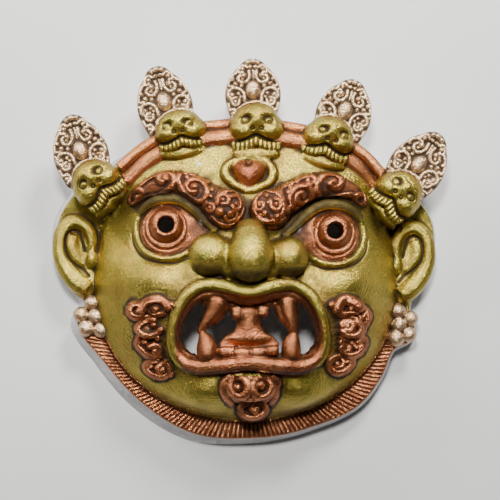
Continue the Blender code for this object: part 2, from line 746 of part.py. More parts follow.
def press_dents(mesh):
    """Pushes the surface down under each hollow."""
    for u, v, wide, long, depth, turn in dents():
        centre = place(u, v, SKULL_HEIGHT + 14)
        back = Matrix.Rotation(math.radians(-turn), 2)
        for vert in mesh.vertices:
            apart = vert.co.xy - centre.xy
            if vert.co.z > (LEAF_HEIGHT + 4) * RISE and apart.length < 12 * UNIT:
                local = back @ apart
                far = (local.x / (wide * UNIT)) ** 2 + (local.y / (long * UNIT)) ** 2
                vert.co.z -= depth * RISE * math.exp(-far ** 2)


def soften_forms(mesh):
    """Eases the creases in the nose and in the tongue."""
    skin = bmesh.new()
    skin.from_mesh(mesh)
    near = []
    for u, v, height, wide, long, deep in NOSE_BULB + NOSE_WINGS:
        near.append((place(u, v, height), wide * 1.08 * UNIT))
    for u, v, wide, long in TONGUE_SWELLS:
        near.append((place(u, v, TEETH_HEIGHT), 11 * UNIT))
    chosen = [vert for vert in skin.verts if vert.co.z > (FACE_TOP + 8) * RISE
              and any((vert.co - spot).length < reach for spot, reach in near)]
    for turn in range(NOSE_ROUNDS):
        bmesh.ops.smooth_vert(skin, verts=chosen, factor=0.5, use_axis_x=True, use_axis_y=True,
                              use_axis_z=True)
    skin.to_mesh(mesh)
    skin.free()


def clay():
    """All forms and their carving as one lump of overlapping closed shapes."""
    seed = bmesh.new()
    bmesh.ops.create_uvsphere(seed, u_segments=20, v_segments=10, radius=1)
    seed.to_mesh(bpy.data.meshes.new("ball"))
    for vert in seed.verts:
        vert.co = [math.copysign(abs(part) ** 0.6, part) for part in vert.co]
    seed.to_mesh(bpy.data.meshes.new("pillow"))
    seed.free()
    lump = bmesh.new()
    rolls = new_rolls()
    add_shell(lump)
    add_nose(lump, rolls)
    add_mouth(lump, rolls)
    add_eyes(lump, rolls)
    add_brows(lump, rolls)
    add_third_eye(lump, rolls)
    add_band(rolls)
    add_skulls(lump, rolls)
    add_leaves(lump)
    add_ears(lump, rolls)
    add_tuft(lump)
    melt_rolls(rolls, lump)
    forms = BVHTree.FromBMesh(lump)
    rolls = new_rolls()
    add_ribs(rolls)
    add_carving(lump, rolls, forms)
    melt_rolls(rolls, lump)
    return settled(lump)


def mark_fine_parts(item):
    """Marks the beard, the leaves and the skulls, which keep more of the triangles."""
    fine = item.vertex_groups.new(name="fine")
    knots = rim_knots()
    leaves = [(place(u, v, LEAF_HEIGHT), 38) for u, v, turn, stretch in LEAVES]
    skulls = [(place(u, v, SKULL_HEIGHT), 27) for u, v, turn in SKULLS]
    chosen = []
    for vert in item.data.vertices:
        x, y = plan(vert.co)
        x -= FACE_U
        y -= FACE_V
        z = vert.co.z / RISE
        if y < -40 and RIM_LOW - 1 < z < RIM_LOW + 8:
            if math.hypot(x, y) > rim_radius(knots, math.atan2(y, x)) - 26:
                chosen.append(vert.index)
        elif z > LEAF_HEIGHT - 2 and y > 60:
            if any((vert.co.xy - spot.xy).length < reach * UNIT for spot, reach in leaves + skulls):
                chosen.append(vert.index)
    fine.add(chosen, 0.5, 'REPLACE')


def one_body(mesh):
    """The lump fused into one skin, then thinned to the solid's count of triangles."""
    item = bpy.data.objects.new("fused", mesh)
    fuse = item.modifiers.new("fuse", 'REMESH')
    fuse.mode = 'VOXEL'
    fuse.voxel_size = GRAIN
    fused = evaluated_mesh(item)
    soften_forms(fused)
    press_dents(fused)
    item = bpy.data.objects.new("thinned", fused)
    mark_fine_parts(item)
    triangles = sum(len(face.vertices) - 2 for face in fused.polygons)
    thin = item.modifiers.new("thin", 'DECIMATE')
    thin.ratio = FACE_COUNT / triangles
    thin.vertex_group = "fine"
    thin.vertex_group_factor = FINE_SHARE
    thin.invert_vertex_group = True
    return evaluated_mesh(item)


def paint(name, colour, roughness, metallic):
    """A plain finish."""
    material = bpy.data.materials.new(name)
    material.use_nodes = True
    shader = material.node_tree.nodes["Principled BSDF"]
    shader.inputs["Base Color"].default_value = (*colour, 1)
    shader.inputs["Roughness"].default_value = roughness
    shader.inputs["Metallic"].default_value = metallic
    return material


def build():
    """The mask, cut flat along its back rim."""
    for item in list(bpy.data.objects):
        bpy.data.objects.remove(item)
    parts = bpy.data.collections.new("wall_mask")
    cutters = bpy.data.collections.new("cutters")
    bpy.context.scene.collection.children.link(parts)
    bpy.context.scene.collection.children.link(cutters)
    mesh = one_body(clay())
    mesh.materials.append(paint("antique_gold", (0.42, 0.36, 0.12), 0.42, 0.6))
    mask = bpy.data.objects.new("mask", mesh)
    parts.objects.link(mask)
    table = bmesh.new()
    side = 2 * MASK_WIDTH
    place_below = Matrix.Translation((0, 0, -side / 2)) @ Matrix.Diagonal((side, side, side, 1))
    bmesh.ops.create_cube(table, size=1, matrix=place_below)
    block = bpy.data.meshes.new("table")
    table.to_mesh(block)
    table.free()
    cutter = bpy.data.objects.new("back_plane", block)
    cutter.hide_render = True
    cutter.display_type = 'WIRE'
    cutters.objects.link(cutter)
    cut = mask.modifiers.new("flat back", 'BOOLEAN')
    cut.operation = 'DIFFERENCE'
    cut.solver = 'EXACT'
    cut.object = cutter
    mask.data.shade_smooth()


build()
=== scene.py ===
"""Wall mask of a wrathful guardian: the cast face and its worn paint, lying on a studio floor.

The mask lies on its back, its face up along +Z and its crown towards +Y. Its carving is laid out
on a drawing: u runs to the right and v towards the crown, and the drawing is what the camera sees.
A place on it is carried along the line of sight to its height, or to the form that it lies on.
"""

import math

import bmesh
import bpy
import numpy as np
from bpy.props import FloatProperty, FloatVectorProperty, IntProperty, PointerProperty
from mathutils import Matrix, Vector
from mathutils.bvhtree import BVHTree


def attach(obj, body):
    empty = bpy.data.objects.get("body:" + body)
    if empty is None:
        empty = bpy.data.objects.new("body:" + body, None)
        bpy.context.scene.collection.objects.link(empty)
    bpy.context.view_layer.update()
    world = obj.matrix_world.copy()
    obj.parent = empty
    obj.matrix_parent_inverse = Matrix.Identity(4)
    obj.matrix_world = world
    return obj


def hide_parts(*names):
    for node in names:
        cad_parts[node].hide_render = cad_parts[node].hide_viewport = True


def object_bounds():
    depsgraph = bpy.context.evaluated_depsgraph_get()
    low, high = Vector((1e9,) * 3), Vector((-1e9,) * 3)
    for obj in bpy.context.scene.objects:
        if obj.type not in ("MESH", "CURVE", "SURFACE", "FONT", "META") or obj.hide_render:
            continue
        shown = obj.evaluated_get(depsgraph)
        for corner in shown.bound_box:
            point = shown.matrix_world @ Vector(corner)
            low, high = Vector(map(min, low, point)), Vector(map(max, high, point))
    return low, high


bl_info = {
    "name": "Guardian Wall Mask",
    "version": (1, 0, 0),
    "blender": (4, 5, 0),
    "location": "3D View > Sidebar > Mask",
    "description": "Models and paints a cast wall mask, with its studio",
    "category": "Add Mesh",
}

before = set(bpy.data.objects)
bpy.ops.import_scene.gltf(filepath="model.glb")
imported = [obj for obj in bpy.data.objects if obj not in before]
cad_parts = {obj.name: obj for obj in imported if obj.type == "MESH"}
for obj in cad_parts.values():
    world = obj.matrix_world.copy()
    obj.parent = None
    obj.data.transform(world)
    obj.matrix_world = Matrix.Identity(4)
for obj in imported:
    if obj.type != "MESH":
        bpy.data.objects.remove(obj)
CAD_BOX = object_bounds()

# The drawing's units, the point from which it is seen, and the middle of the mask's back
WIDTH_UNITS = 386.3
DEPTH_UNITS = 128.4
VIEW_U, VIEW_V, VIEW_HEIGHT = -75, -75, 1450
AIM_U = 2
FRAME_UNITS = 500
MIDDLE_U, MIDDLE_V = -1.7, -5.2

# The bare face, in units: its centre, reach, top, squareness, and the powers of its dome
FACE_U, FACE_V = -3, -38
FACE_SIDE, FACE_CHIN, FACE_CROWN = 149, 132, 168
FACE_TOP = 74
FACE_SQUARE = 2.02
DOME_OUT, DOME_UP = 1.2, 0.6

# The shell's edge: its heights, between which sines of the angle it climbs, and the skirt's lean,
# which is more about one angle in degrees, over a spread in radians
RIM_LOW, RIM_HIGH = 25, 50
RIM_CLIMB = (0.3, 0.75)
RIM_SLOPE, RIM_SPLAY = 0.24, 0.2
SPLAY_ANGLE, SPLAY_SPREAD = -132, 0.75

# The swells of the cheeks, the lips, the brows, the nose and the jowls, and the hollow temples;
# they fade out over a share of the face's reach
SWELL_FADE = 0.15
SWELLS = (
    # u, v, half width, half length, height, squareness
    (-88, -30, 36, 22, 17, 1.0),
    (93, -32, 36, 22, 17, 1.0),
    (-104, -66, 26, 34, 8, 1.0),
    (106, -68, 26, 34, 8, 1.0),
    (0, -82, 92, 58, 22, 2.2),
    (-82, 22, 32, 27, 8, 1.6),
    (86, 16, 32, 27, 8, 1.6),
    (1, 2, 24, 36, 22, 1.0),
    (-36, -4, 20, 22, 12, 1.0),
    (40, -5, 20, 22, 12, 1.0),
    (-46, -146, 36, 20, 20, 1.2),
    (52, -146, 36, 20, 20, 1.2),
    (-132, 42, 24, 26, -6, 1.0),
    (130, 38, 24, 26, -6, 1.0),
)

# The outline of the back rim on the floor, from the chin round by the left ear
RIM = (
    (0, -194), (-60, -190), (-112, -160), (-152, -115), (-175, -83), (-177, -69), (-169, -55),
    (-184, -34), (-195, -2), (-194, 26), (-184, 48), (-163, 70), (-138, 86), (-96, 108),
    (-45, 122), (5, 126), (55, 120), (96, 107), (124, 88), (150, 68), (172, 49), (184, 30),
    (187, 8), (181, -19), (171, -37), (163, -58), (168, -72), (164, -92), (147, -102),
    (136, -127), (112, -158), (64, -181),
)

# The mouth: the left halves of the two lip rolls, and where gold turns to copper
LIP_OUTER = (
    (0, -42, 6.5), (-25, -36, 7), (-44, -35, 6.5), (-59, -43, 6.5), (-70, -60, 6),
    (-75.5, -80, 5.5), (-75, -96, 5.8), (-68, -109, 6.8), (-54, -116, 8), (-30, -116, 8),
    (0, -113, 7.5),
)
LIP_INNER = (
    (0, -48, 7), (-18, -44.5, 7), (-35, -42.5, 6.5), (-51, -47, 6), (-64, -62, 4), (-70, -80, 3.5),
    (-70, -95, 3.5), (-62, -106, 4.5), (-50, -110, 5), (-28, -110, 5), (0, -107, 5),
)
LIP_LINE = (
    (-73, -79), (-67, -61), (-53.4, -45), (-40, -40), (-22, -42), (3, -46.5), (28, -42), (44.5, -40),
    (59, -47), (69, -61), (75.6, -79), (75, -97), (73, -112), (62, -123), (46, -127.5), (26, -126),
    (1, -123), (-25, -126), (-46, -127), (-62, -122), (-72, -110), (-72.5, -97),
)
# The painted brown shade beside the mouth, and its strength there and inside the mouth
LIP_SHADE = (
    (-10, -31, 4), (-35, -26, 6), (-57, -29, 8), (-75, -43, 9), (-86, -62, 9), (-88, -85, 8),
    (-82, -106, 7), (-68, -124, 6),
)
BESIDE_SHADE, MOUTH_SHADE = 0.6, 0.45
MOUTH_MIDDLE = 0.5
LIP_RISE, LIP_SUNK = 3, 7

# Gums, tusks, teeth and tongue across the mouth, with their heights over the floor
TEETH_HEIGHT = 86
GUM_HEIGHT, TUSK_HEIGHT, LOWER_HEIGHT = TEETH_HEIGHT - 4, TEETH_HEIGHT - 1, TEETH_HEIGHT + 2
GUM_RADIUS = 5.5
GUMS = (
    ((-46, -50), (-20, -52), (1, -57), (22, -52), (48, -50)),
    ((-48, -107.5), (-30, -108.5), (1, -107.5), (32, -108.5), (50, -107.5)),
)
TUSKS = (
    ((-30, -53, 10), (-33.5, -60, 8.5), (-38, -67, 6.8), (-43.5, -74.5, 5), (-48.5, -81, 3)),
    ((-24, -57, 6), (-28, -64, 5), (-33, -71, 3.5)),
    ((39, -53, 9.3), (41, -64, 8.6), (43.5, -74, 6.6), (46, -80, 4.8), (47.5, -83.5, 3.2)),
    ((31, -58, 5), (35, -68, 5)),
    ((-45, -84.5, 3.5), (-42, -91, 7.5), (-41, -99, 10), (-41, -104, 9.5)),
    ((46, -85, 3.8), (43.5, -92, 7.8), (43, -100, 9.4), (43, -104, 9)),
)
INCISORS = ((-11.4, -62.5, 5.4, 7), (1, -63.8, 7.6, 7.6), (14.6, -61.5, 6, 6.4))
INCISOR_DEPTH = 7
LOWER_TEETH = ((-21, -101.5, 8.4), (-4.8, -102.8, 8.2), (10.8, -102, 7.8), (24.2, -100.4, 6.4))
LOWER_LENGTH, LOWER_DEPTH = 4.8, 7.5
TONGUE_HEIGHT, TONGUE_THICK = TEETH_HEIGHT + 1, 12
TONGUE = (
    (-10, -66), (11, -66), (14, -76), (20, -84), (29, -90), (32, -95), (14, -96.5), (1, -97),
    (-12, -96.5), (-29, -95), (-26, -90), (-17, -84), (-12, -76),
)
TONGUE_MIDDLE, TONGUE_DEPTH = TEETH_HEIGHT - 2, 9
TONGUE_SWELLS = ((0.5, -73, 10, 12), (1, -83, 15, 10), (1, -88, 24, 7))

# The nose: balls of the bulb from the tip to the bridge, then of the wings
NOSE_BULB = (
    # u, v, height, half width, half length, half depth
    (3, -8, 104, 21.5, 23, 24),
    (3, 0, 103, 20.5, 21.5, 23),
    (2.5, 9, 99, 18.5, 18, 20),
    (2, 17, 94, 15, 14, 17),
    (1.5, 21, 88, 11, 9.5, 12),
)
NOSE_WINGS = (
    (-38, -4, 91, 21, 20.5, 20),
    (-27, -6, 91, 16, 17, 16),
    (-15, -18, 92, 13, 11, 14),
    (41, -7, 91, 19, 20, 20),
    (31, -8, 91, 16, 17, 16),
    (20, -18, 92, 13, 11, 14),
)

# The eyes, the left one; the right one is its mirror image about EYE_MIDDLE, a little lower
EYE_MIDDLE, EYE_DROP = 2, 6
PUPIL = (-82, 24.5, 73)
LID_RISE = 0.7
LID_UPPER = (
    (-109, 36, 3), (-99, 46, 4.4), (-84, 51, 5.2), (-69, 50, 5.4), (-57, 43, 5), (-43, 29.5, 4.2),
    (-31, 19, 3),
)
LID_LOWER = (
    (-108, 38, 2.4), (-112, 21, 3), (-107, 4, 3), (-95, -6, 3), (-78, -8.5, 3), (-62, -3, 2.8),
    (-50, 8, 2.4), (-36, 17, 2),
)
CREASE_DEPTH, CREASE_STAIN = 0.9, 0.85
LID_CREASE = (
    (-116, 18, 0.8), (-113.5, 4, 1.3), (-104.5, -7.5, 1.5), (-90, -12.5, 1.5), (-73, -13, 1.4),
    (-59, -8.5, 0.8),
)
EYEBALL = (
    # height, radius as a share of the pupil's
    (-17, 1.0), (11.5, 1.0), (13.4, 1.1), (14, 1.3), (13, 1.6), (10.6, 1.95), (8.4, 2.12),
    (5.6, 2.22), (6.8, 2.4), (6.4, 2.62), (3.8, 2.74), (4.8, 2.9), (3.4, 3.14), (-1, 3.32),
    (-9, 3.38), (-17, 3.32),
)
EYE_SAG, SAG_FROM, SAG_TO = 4.5, 2, 3.2
EYE_FIELD = (
    (-105, 33), (-97, 41), (-86, 45), (-71, 44), (-60, 38), (-47, 25.5), (-32, 17), (-38, 14),
    (-49, 8), (-61, -1), (-78, -6), (-94, -3.5), (-104.5, 5), (-109, 20),
)

# The brows: centre lines and half widths, and the carving of each
BROW_MIDDLE, BROW_DROP = -0.5, 1
BROW_RISE = 0.35
BROW_BULB = (19.5, 19.5, 17)
BROW = (
    (-118, 48, 5), (-101, 61, 9), (-80, 66, 13), (-58, 62, 14), (-40, 52, 15), (-23, 41, 18),
)
BROW_RIDGES_LEFT = (
    (2.3, ((-119, 45), (-120.5, 52), (-117, 58.5), (-110.5, 60.5), (-105.5, 57.5), (-106.5, 53),
     (-111, 52))),
    (2.6, ((-115, 44), (-107, 48.5), (-98, 51.5), (-90, 53.5), (-82, 58), (-75.5, 64.5),
     (-74, 72.5), (-79.5, 79), (-87.5, 77.5), (-90, 72), (-86.5, 68))),
    (2, ((-109, 64), (-102, 70), (-94, 75.5), (-88, 80))),
    (2.3, ((-68.5, 76.5), (-69.5, 68.5), (-66, 60), (-59, 52.5), (-51, 48), (-44.5, 50.5),
     (-41, 58), (-43.5, 66), (-50, 71), (-58, 70), (-62, 63.5), (-58.5, 58), (-53, 58))),
    (2, ((-67, 78.5), (-60, 78.2), (-52, 75.5), (-44.5, 71))),
    (1.6, ((-42, 47.5), (-44, 42.5), (-40.5, 38.2), (-35.2, 40), (-35, 44.8), (-38.5, 46))),
    (2.1, ((-31.5, 46), (-29, 55.5), (-21, 60), (-11, 59.5), (-4, 53), (-2, 44), (-4.5, 35),
     (-11, 27.5))),
    (1.6, ((-30.5, 46), (-30.2, 52.5), (-24.5, 56), (-19.3, 52.5), (-20.2, 47), (-25.5, 46.2))),
    (1.7, ((-16.5, 54), (-10, 54.2), (-6, 48.5), (-7.5, 42), (-12.5, 40.5), (-15.2, 44))),
    (1.4, ((-23, 33), (-20, 29), (-14.5, 29.2), (-10.5, 33.5), (-11.2, 38.5))),
    (1.9, ((-36.5, 31.5), (-29, 25.5), (-19, 23), (-10, 26.5))),
)
BROW_BALLS_LEFT = (
    (-82.5, 72.2, 4.2), (-53.7, 63.4, 4.2), (-61, 73.4, 2.6), (-39.4, 68.6, 3), (-36, 61, 2.5),
    (-37.6, 54, 2.4), (-39, 42.4, 2.2), (-25.4, 50.6, 2.3), (-11, 46.4, 2.3), (-17.4, 36, 4.4),
    (-28.2, 38.2, 5.2),
)
BROW_RIDGES_RIGHT = (
    (2.1, ((20.6, 60.5), (28.5, 58.2), (34.6, 52), (37, 44), (34.6, 35.8), (28.5, 29.7),
     (20.6, 27.5), (12.5, 29.7), (6.4, 35.8), (4, 44), (6.4, 52), (12.5, 58.2))),
    (1.7, ((7.5, 52), (6, 45), (9.5, 39.5), (14.8, 42), (14.5, 47.2), (10.7, 47))),
    (1.8, ((22.5, 49.5), (23.8, 42.5), (29, 40), (33.6, 44), (32.5, 50), (27.8, 51.4))),
    (1.3, ((12, 35.5), (13.5, 31), (18.5, 30))),
    (1.4, ((23, 33.5), (25.8, 28), (32, 27), (36.5, 31.4))),
    (2.5, ((45, 45), (42.8, 53), (46, 61), (53, 64.4), (61, 62.5), (64.5, 55.5), (61.6, 48.4),
     (55, 45.4), (49, 49), (49.6, 55), (54.4, 57))),
    (2.1, ((43, 43), (52, 40), (62, 43.5), (70, 48.4))),
    (1.9, ((33, 56), (33.5, 62.5), (38.6, 66), (43, 62.5), (40.6, 58.5))),
    (2, ((48.5, 68.5), (54.5, 73.4), (62, 75), (66.8, 70.8), (64, 66), (59, 66.5))),
    (2.6, ((72.5, 50), (69, 60), (71, 69.5), (78, 76), (87, 76.8), (93.2, 71.4), (92.2, 64.5),
     (86.6, 62), (82, 66))),
    (2.5, ((74, 48.5), (84, 51), (94, 53.4), (102.5, 55))),
    (2.4, ((104.5, 72), (112.5, 67), (118, 58), (118.8, 49), (114, 43.4), (108, 46.5), (107.6, 53),
     (111.6, 55))),
)
BROW_BALLS_RIGHT = (
    (10.6, 45, 2.2), (28.6, 46, 2.4), (16.5, 36.4, 3.4), (30, 32.6, 4.4), (20, 47.4, 2),
    (18.6, 55, 2.7), (39.9, 38.8, 3.4), (55.4, 53.4, 2.6), (60, 70.4, 2.5), (44, 67, 2.4),
    (68, 63, 2.3), (69.6, 56, 2.1), (85.2, 68.6, 4),
)
LOCK_RIDGES_LEFT = (
    (2.5, ((-106, -67), (-113.5, -67.5), (-118.7, -62.5), (-117, -56), (-111, -54.3), (-107, -58.2),
     (-110, -62))),
    (3, ((-106, -63), (-104.5, -55), (-98.5, -50.8), (-91, -49), (-84, -52), (-80, -58))),
    (2, ((-107, -68.5), (-99, -66.8), (-92, -65.8), (-85, -64))),
    (2.4, ((-94.5, -70), (-102, -70.5), (-108.5, -74.5), (-110.8, -79.5), (-106, -84.2),
     (-99, -86.6), (-92, -84.6), (-87.5, -80))),
    (2.3, ((-109.5, -88), (-111.4, -94.5), (-106.5, -100.6), (-101.4, -105.6), (-95, -108),
     (-89.4, -104), (-89.4, -98.4), (-94, -95), (-98.5, -97))),
    (2.2, ((-91, -111), (-99, -112), (-103.2, -116.5), (-100, -122.5), (-93, -126.6), (-85, -127.6),
     (-79, -123.6), (-79.5, -117), (-85.5, -114), (-90.6, -118), (-88.4, -123))),
)
LOCK_BALLS_LEFT = (
    (-92.4, -59.5, 3.8), (-76.6, -54.8, 3.2), (-94.6, -75.2, 3), (-88.6, -80, 2.7),
    (-90.8, -88.5, 3.2), (-103, -91.8, 3.4), (-93.2, -101.8, 3.2), (-87.6, -107, 2.2),
    (-84.5, -119.6, 3.2), (-77, -124.5, 3), (-82.5, -111.6, 2.6), (-97, -116.6, 2.6),
)
LOCK_RIDGES_RIGHT = (
    (4, ((90, -59), (93, -52), (99, -50), (106, -52.5), (112, -58))),
    (3, ((88, -61), (95, -65), (104, -65), (112, -68))),
    (2.4, ((112, -57), (118, -60), (121, -66), (119, -73), (115, -77))),
    (1.8, ((113, -61.5), (116.5, -64), (115, -68.5))),
    (2.6, ((94, -76), (95, -72.8), (101, -71.5), (105, -75.5), (102.5, -80.5), (97.5, -80.2))),
    (3, ((109, -71), (114, -77), (112.5, -83.5), (106, -87), (98.5, -86), (94, -82))),
    (2.2, ((93, -92.6), (99, -90), (105, -93.5), (109, -98.5), (113.5, -96))),
    (2.8, ((111.6, -87), (117, -91.5), (115.5, -98), (110.5, -103.5), (103.5, -106.2), (97, -104.5),
     (93.8, -99.5), (97, -95.8), (101, -97.6), (99, -101))),
    (2.6, ((90.6, -107), (84.4, -110), (81.4, -116), (85, -122), (92, -123.2), (99, -120),
     (104.6, -114), (104, -109))),
    (2, ((86.5, -111), (91, -107.5), (95.6, -111), (94, -116.5), (88.5, -117.5))),
)
LOCK_BALLS_RIGHT = (
    (83.6, -55, 4), (111, -60.5, 3), (98.8, -76, 3.4), (93.5, -87.4, 3), (116, -80.6, 2.2),
    (110.4, -91, 3.4), (98.4, -99, 2.4), (88.6, -113.6, 3.4), (100.2, -111.2, 3.8), (103, -59, 3),
)
TUFT_RIDGES = (
    (3.6, ((-16.5, -128.5), (-19.4, -135.5), (-16.5, -144), (-9, -148), (-2, -144), (-0.5, -135),
     (-5, -127.5), (-11.5, -126.5))),
    (3.4, ((4.8, -134), (6.5, -144), (14, -148.8), (21.6, -145), (24.6, -136.5), (20.6, -128),
     (13, -125.6), (7.6, -128.6))),
    (2.6, ((-24.5, -132), (-25, -140), (-21.6, -148), (-16.5, -153.6))),
    (2.4, ((-22.5, -129.5), (-19, -127), (-16.5, -130))),
    (2.4, ((25, -127.6), (29.4, -131), (30, -134))),
    (2.6, ((28.6, -138), (27.6, -145), (23.5, -152))),
    (2.8, ((1, -152), (-6.4, -156.6), (-7, -163), (-1.4, -168), (6, -168.8), (14, -166),
     (17.6, -160), (14.5, -154), (8, -153), (3.6, -157.5), (7, -161.5))),
)
TUFT_BALLS = (
    (-11.2, -137.6, 4.6), (12.8, -134.8, 5.2), (1.8, -127.4, 4.6), (-2.6, -126.8, 3.4),
    (6.2, -126.8, 3.4), (8.6, -158, 3.6), (3.2, -148.6, 2.2),
)

# The third eye: its rim, the recess in it and the drop that fills it
THIRD_RISE = 1.5
THIRD_RIM = (
    (-22.5, 77, 4.8), (-19, 85.5, 4), (-10, 90, 3), (2, 91.2, 2.6), (14, 90, 3), (22, 84.5, 4),
    (25, 76, 4.8), (21.5, 68.5, 4.4), (12, 63.4, 3.6), (1, 59.6, 3), (-8.5, 63, 3.6),
    (-17.5, 69, 4.4),
)
DROP = (
    # u, v, half width, half length, half depth
    (1, 81, 16, 8.5, 12), (1, 77, 14.5, 9.5, 12.5), (1, 73, 11, 8.5, 12), (1, 69, 7.5, 7, 9.5),
    (1, 65.5, 4, 5, 6.5),
)
DROP_MIDDLE = (1, 76)
BINDU = (0.5, 87, 4.4)
RING_DEPTH, BINDU_RISE = 3.5, 4.5

# The crown: skulls, and the leaves behind them
SKULLS = (
    # u, v, turn in degrees, share of the full width and length, shift of the features
    (8, 129, 0, 1, 1, 1), (-68.5, 125, 9, 0.94, 0.82, -2), (82, 117.5, -15, 0.95, 0.9, 4),
    (-156.5, 71.5, 43, 0.9, 0.97, 0), (155, 60, -48, 0.9, 0.97, 0),
)
SKULL_DOME = (
    # across, along, half width, half length, half depth
    (0, 2, 22, 16, 19), (0, -3, 26, 14, 17), (-13, -10, 14.5, 11.5, 16), (13, -10, 14.5, 11.5, 16),
)
SKULL_LIP = ((-26, -17), (-20, -20), (-13, -19), (-6, -15.6), (0, -13.4), (6, -15.6), (13, -19),
             (20, -20), (26, -17))
SKULL_TEETH = 11
SKULL_TOOTH = (2.5, 5, 5.5)
TOOTH_REACH, TOOTH_DROP, TOOTH_ARCH, TOOTH_BEND = 22.5, 20.5, 5, 2.1
TOOTH_RISE, TOOTH_CURVE, TOOTH_FAN = 8, 7, 10
SKULL_GUM = 5
JAW_RADIUS, JAW_SUNK = 4.6, 1
COLLAR_DROP, COLLAR = 33, (23, 7, 6)
SKULL_JAW = ((-21, -29.5), (-13, -31.5), (0, -30), (13, -31.5), (21, -29.5))
SKULL_LIP_RADIUS, SKULL_LIP_DEPTH = 1.7, 1.5
GAP_RADIUS, GAP_DEPTH, GAP_STAIN = 0.75, 1.3, 0.95
GAP_UP, GAP_DOWN, GAP_FAN = 3.8, 4, 1.04

# The eyes and nostrils of a skull: places across and along it, half sizes, depths, and the balls
# that stand in them
SOCKET, SOCKET_HALF, SOCKET_SLANT, SOCKET_DEPTH = (10.6, 2.4), (5.8, 4.4), 28, 4.5
SKULL_EYE, SKULL_EYE_HALF, SKULL_EYE_RISE = (11.8, 1), (3.4, 2.8), 4
NOSTRIL, NOSTRIL_HALF, NOSTRIL_DEPTH = (4.4, -6.6), (2.4, 2.4), 3
NOSTRIL_BALL_HALF, NOSTRIL_BALL_RISE = (1, 1), 2
HOLE_STAIN, EYE_CLEAN, NOSTRIL_CLEAN = 0.95, 0.9, 0.7

# The pointed cap over each skull's brow, and the crack in the outer right skull
CROWN_RADIUS = 1.7
CROWN_LINE = ((-25, 2), (-19, 10.5), (-10, 17), (0, 19.4), (10, 17), (19, 10.5), (25, 2))
CRACK_FROM = 150
CRACK_RADIUS, CRACK_DEPTH, CRACK_STAIN = 0.9, 1, 0.8
CRACK = ((157, 73), (160, 69), (163.5, 65.5), (165, 62), (169, 59))
LEAVES = (
    # u, v, turn in degrees, stretch of the tip
    (5, 160, 1, 1), (-84, 148, 14, 1.17), (97, 139, -19, 1.05), (-168, 99, 16, 1.2),
    (171, 85.4, -35, 1.19),
)
SKULL_HEIGHT, LEAF_HEIGHT, BAND_HEIGHT = 60, 56, 55
LEAF_HALF = (
    (0, 31.5), (8.5, 29), (15, 22.8), (22, 15), (26, 6), (27.8, -3), (27, -13), (24, -24), (20, -33),
)
LEAF_RIDGES = (
    # the right side of a leaf; the left side mirrors it
    (1.5, ((3.8, 18.6), (3.4, 13), (7.4, 8), (12.8, 8.2), (15, 11.6), (13, 14.2))),
    (1.5, ((8.4, -11), (9.2, -3.8), (13.4, 0.8), (18.9, 1.8), (23.6, -1), (25, -5.4), (22.6, -8.6))),
    (1.3, ((13.8, -10), (14.6, -13.8), (18.6, -15), (21.6, -11.8), (20, -8.4), (16.6, -7.6))),
    (1.4, ((15.6, 18), (20, 14.6), (23.6, 9.4), (24.4, 4.2), (20.6, 3.6))),
    (1.4, ((5.6, 22.6), (9.6, 24.6), (13.8, 21.6), (14, 17.6), (10.4, 17.4))),
    (1.3, ((25, -14), (23.6, -19.6), (18.6, -19.4), (17, -24), (20.4, -27.6))),
    (1.3, ((7.6, -15.4), (11.6, -18), (10.6, -23), (6, -24))),
)
LEAF_BALLS = (
    (8.9, 14.4, 2.3), (10.4, 11.2, 1.4), (20.9, -4.8, 2), (17.6, 6, 2), (11.4, 4.2, 1.6),
    (20.4, 10.6, 1.8), (17.8, -11.4, 1.6), (10, 20.8, 1.8), (0.5, 28.4, 2.2), (5, 27.4, 2),
    (2.4, 23, 1.7), (14.6, -3.4, 1.5), (26, 0.6, 1.3), (20.4, -23.4, 1.7), (12.4, -6.8, 1.3),
    (21.4, 0.4, 1),
)
LEAF_STEM = (1.3, ((0.6, 11.2), (0.6, 15), (0.4, 19.4)))
CABOCHON = (7.2, 9.4, 5.5)
BAND = (
    (-129, 82), (-99, 106), (-62, 120), (-28, 125), (5, 127), (46, 122), (86, 112), (114, 97),
    (134, 76),
)

BAND_RADIUS = 5.6
INNER_SHARE, INNER_DROP, INNER_SUNK, INNER_RADIUS = 0.94, 13, 2, 8.5

# The left ear, and the beads below each ear
EAR_MIDDLE, EAR_DROP = -4, 6
HELIX = (
    (-157, 0, 5), (-157, 13, 6.5), (-163, 24, 7.5), (-174, 28, 8), (-184, 20, 8), (-188, 5, 7.5),
    (-186, -10, 8), (-178, -24, 10), (-168, -34, 11), (-160, -39, 9),
)
ANTIHELIX = ((-174, 15, 6.5), (-176.5, 5, 8), (-173, -5, 7.5), (-165, -15, 4.5))
EAR_BODY = (
    # u, v, half width, half length, half depth: the plate of the ear, its lobe and its flap
    (-171, -2, 20, 32, 6), (-164, -32, 14, 16, 7), (-156, -9, 6, 11, 10),
)
EAR_GROOVE = (
    (-163, -1), (-166, 10), (-169, 17), (-175, 20), (-181, 16), (-183, 6), (-180, -6), (-173, -14),
    (-164, -20), (-159, -26),
)
EAR_HEIGHT, EAR_SUNK, EAR_TOP, BEAD_HEIGHT = 27, 2, 45, 28
BEADS = (
    (-156.5, -53, 7.4), (-167, -64.5, 7.8), (-152.5, -66.5, 8), (-161.5, -78.5, 8.3),
    (-146.5, -80, 8.3),
    (150, -61, 8), (162.5, -68.5, 7.8), (151, -75, 8.2), (148, -88, 8.6), (161, -84.5, 7.8),
)

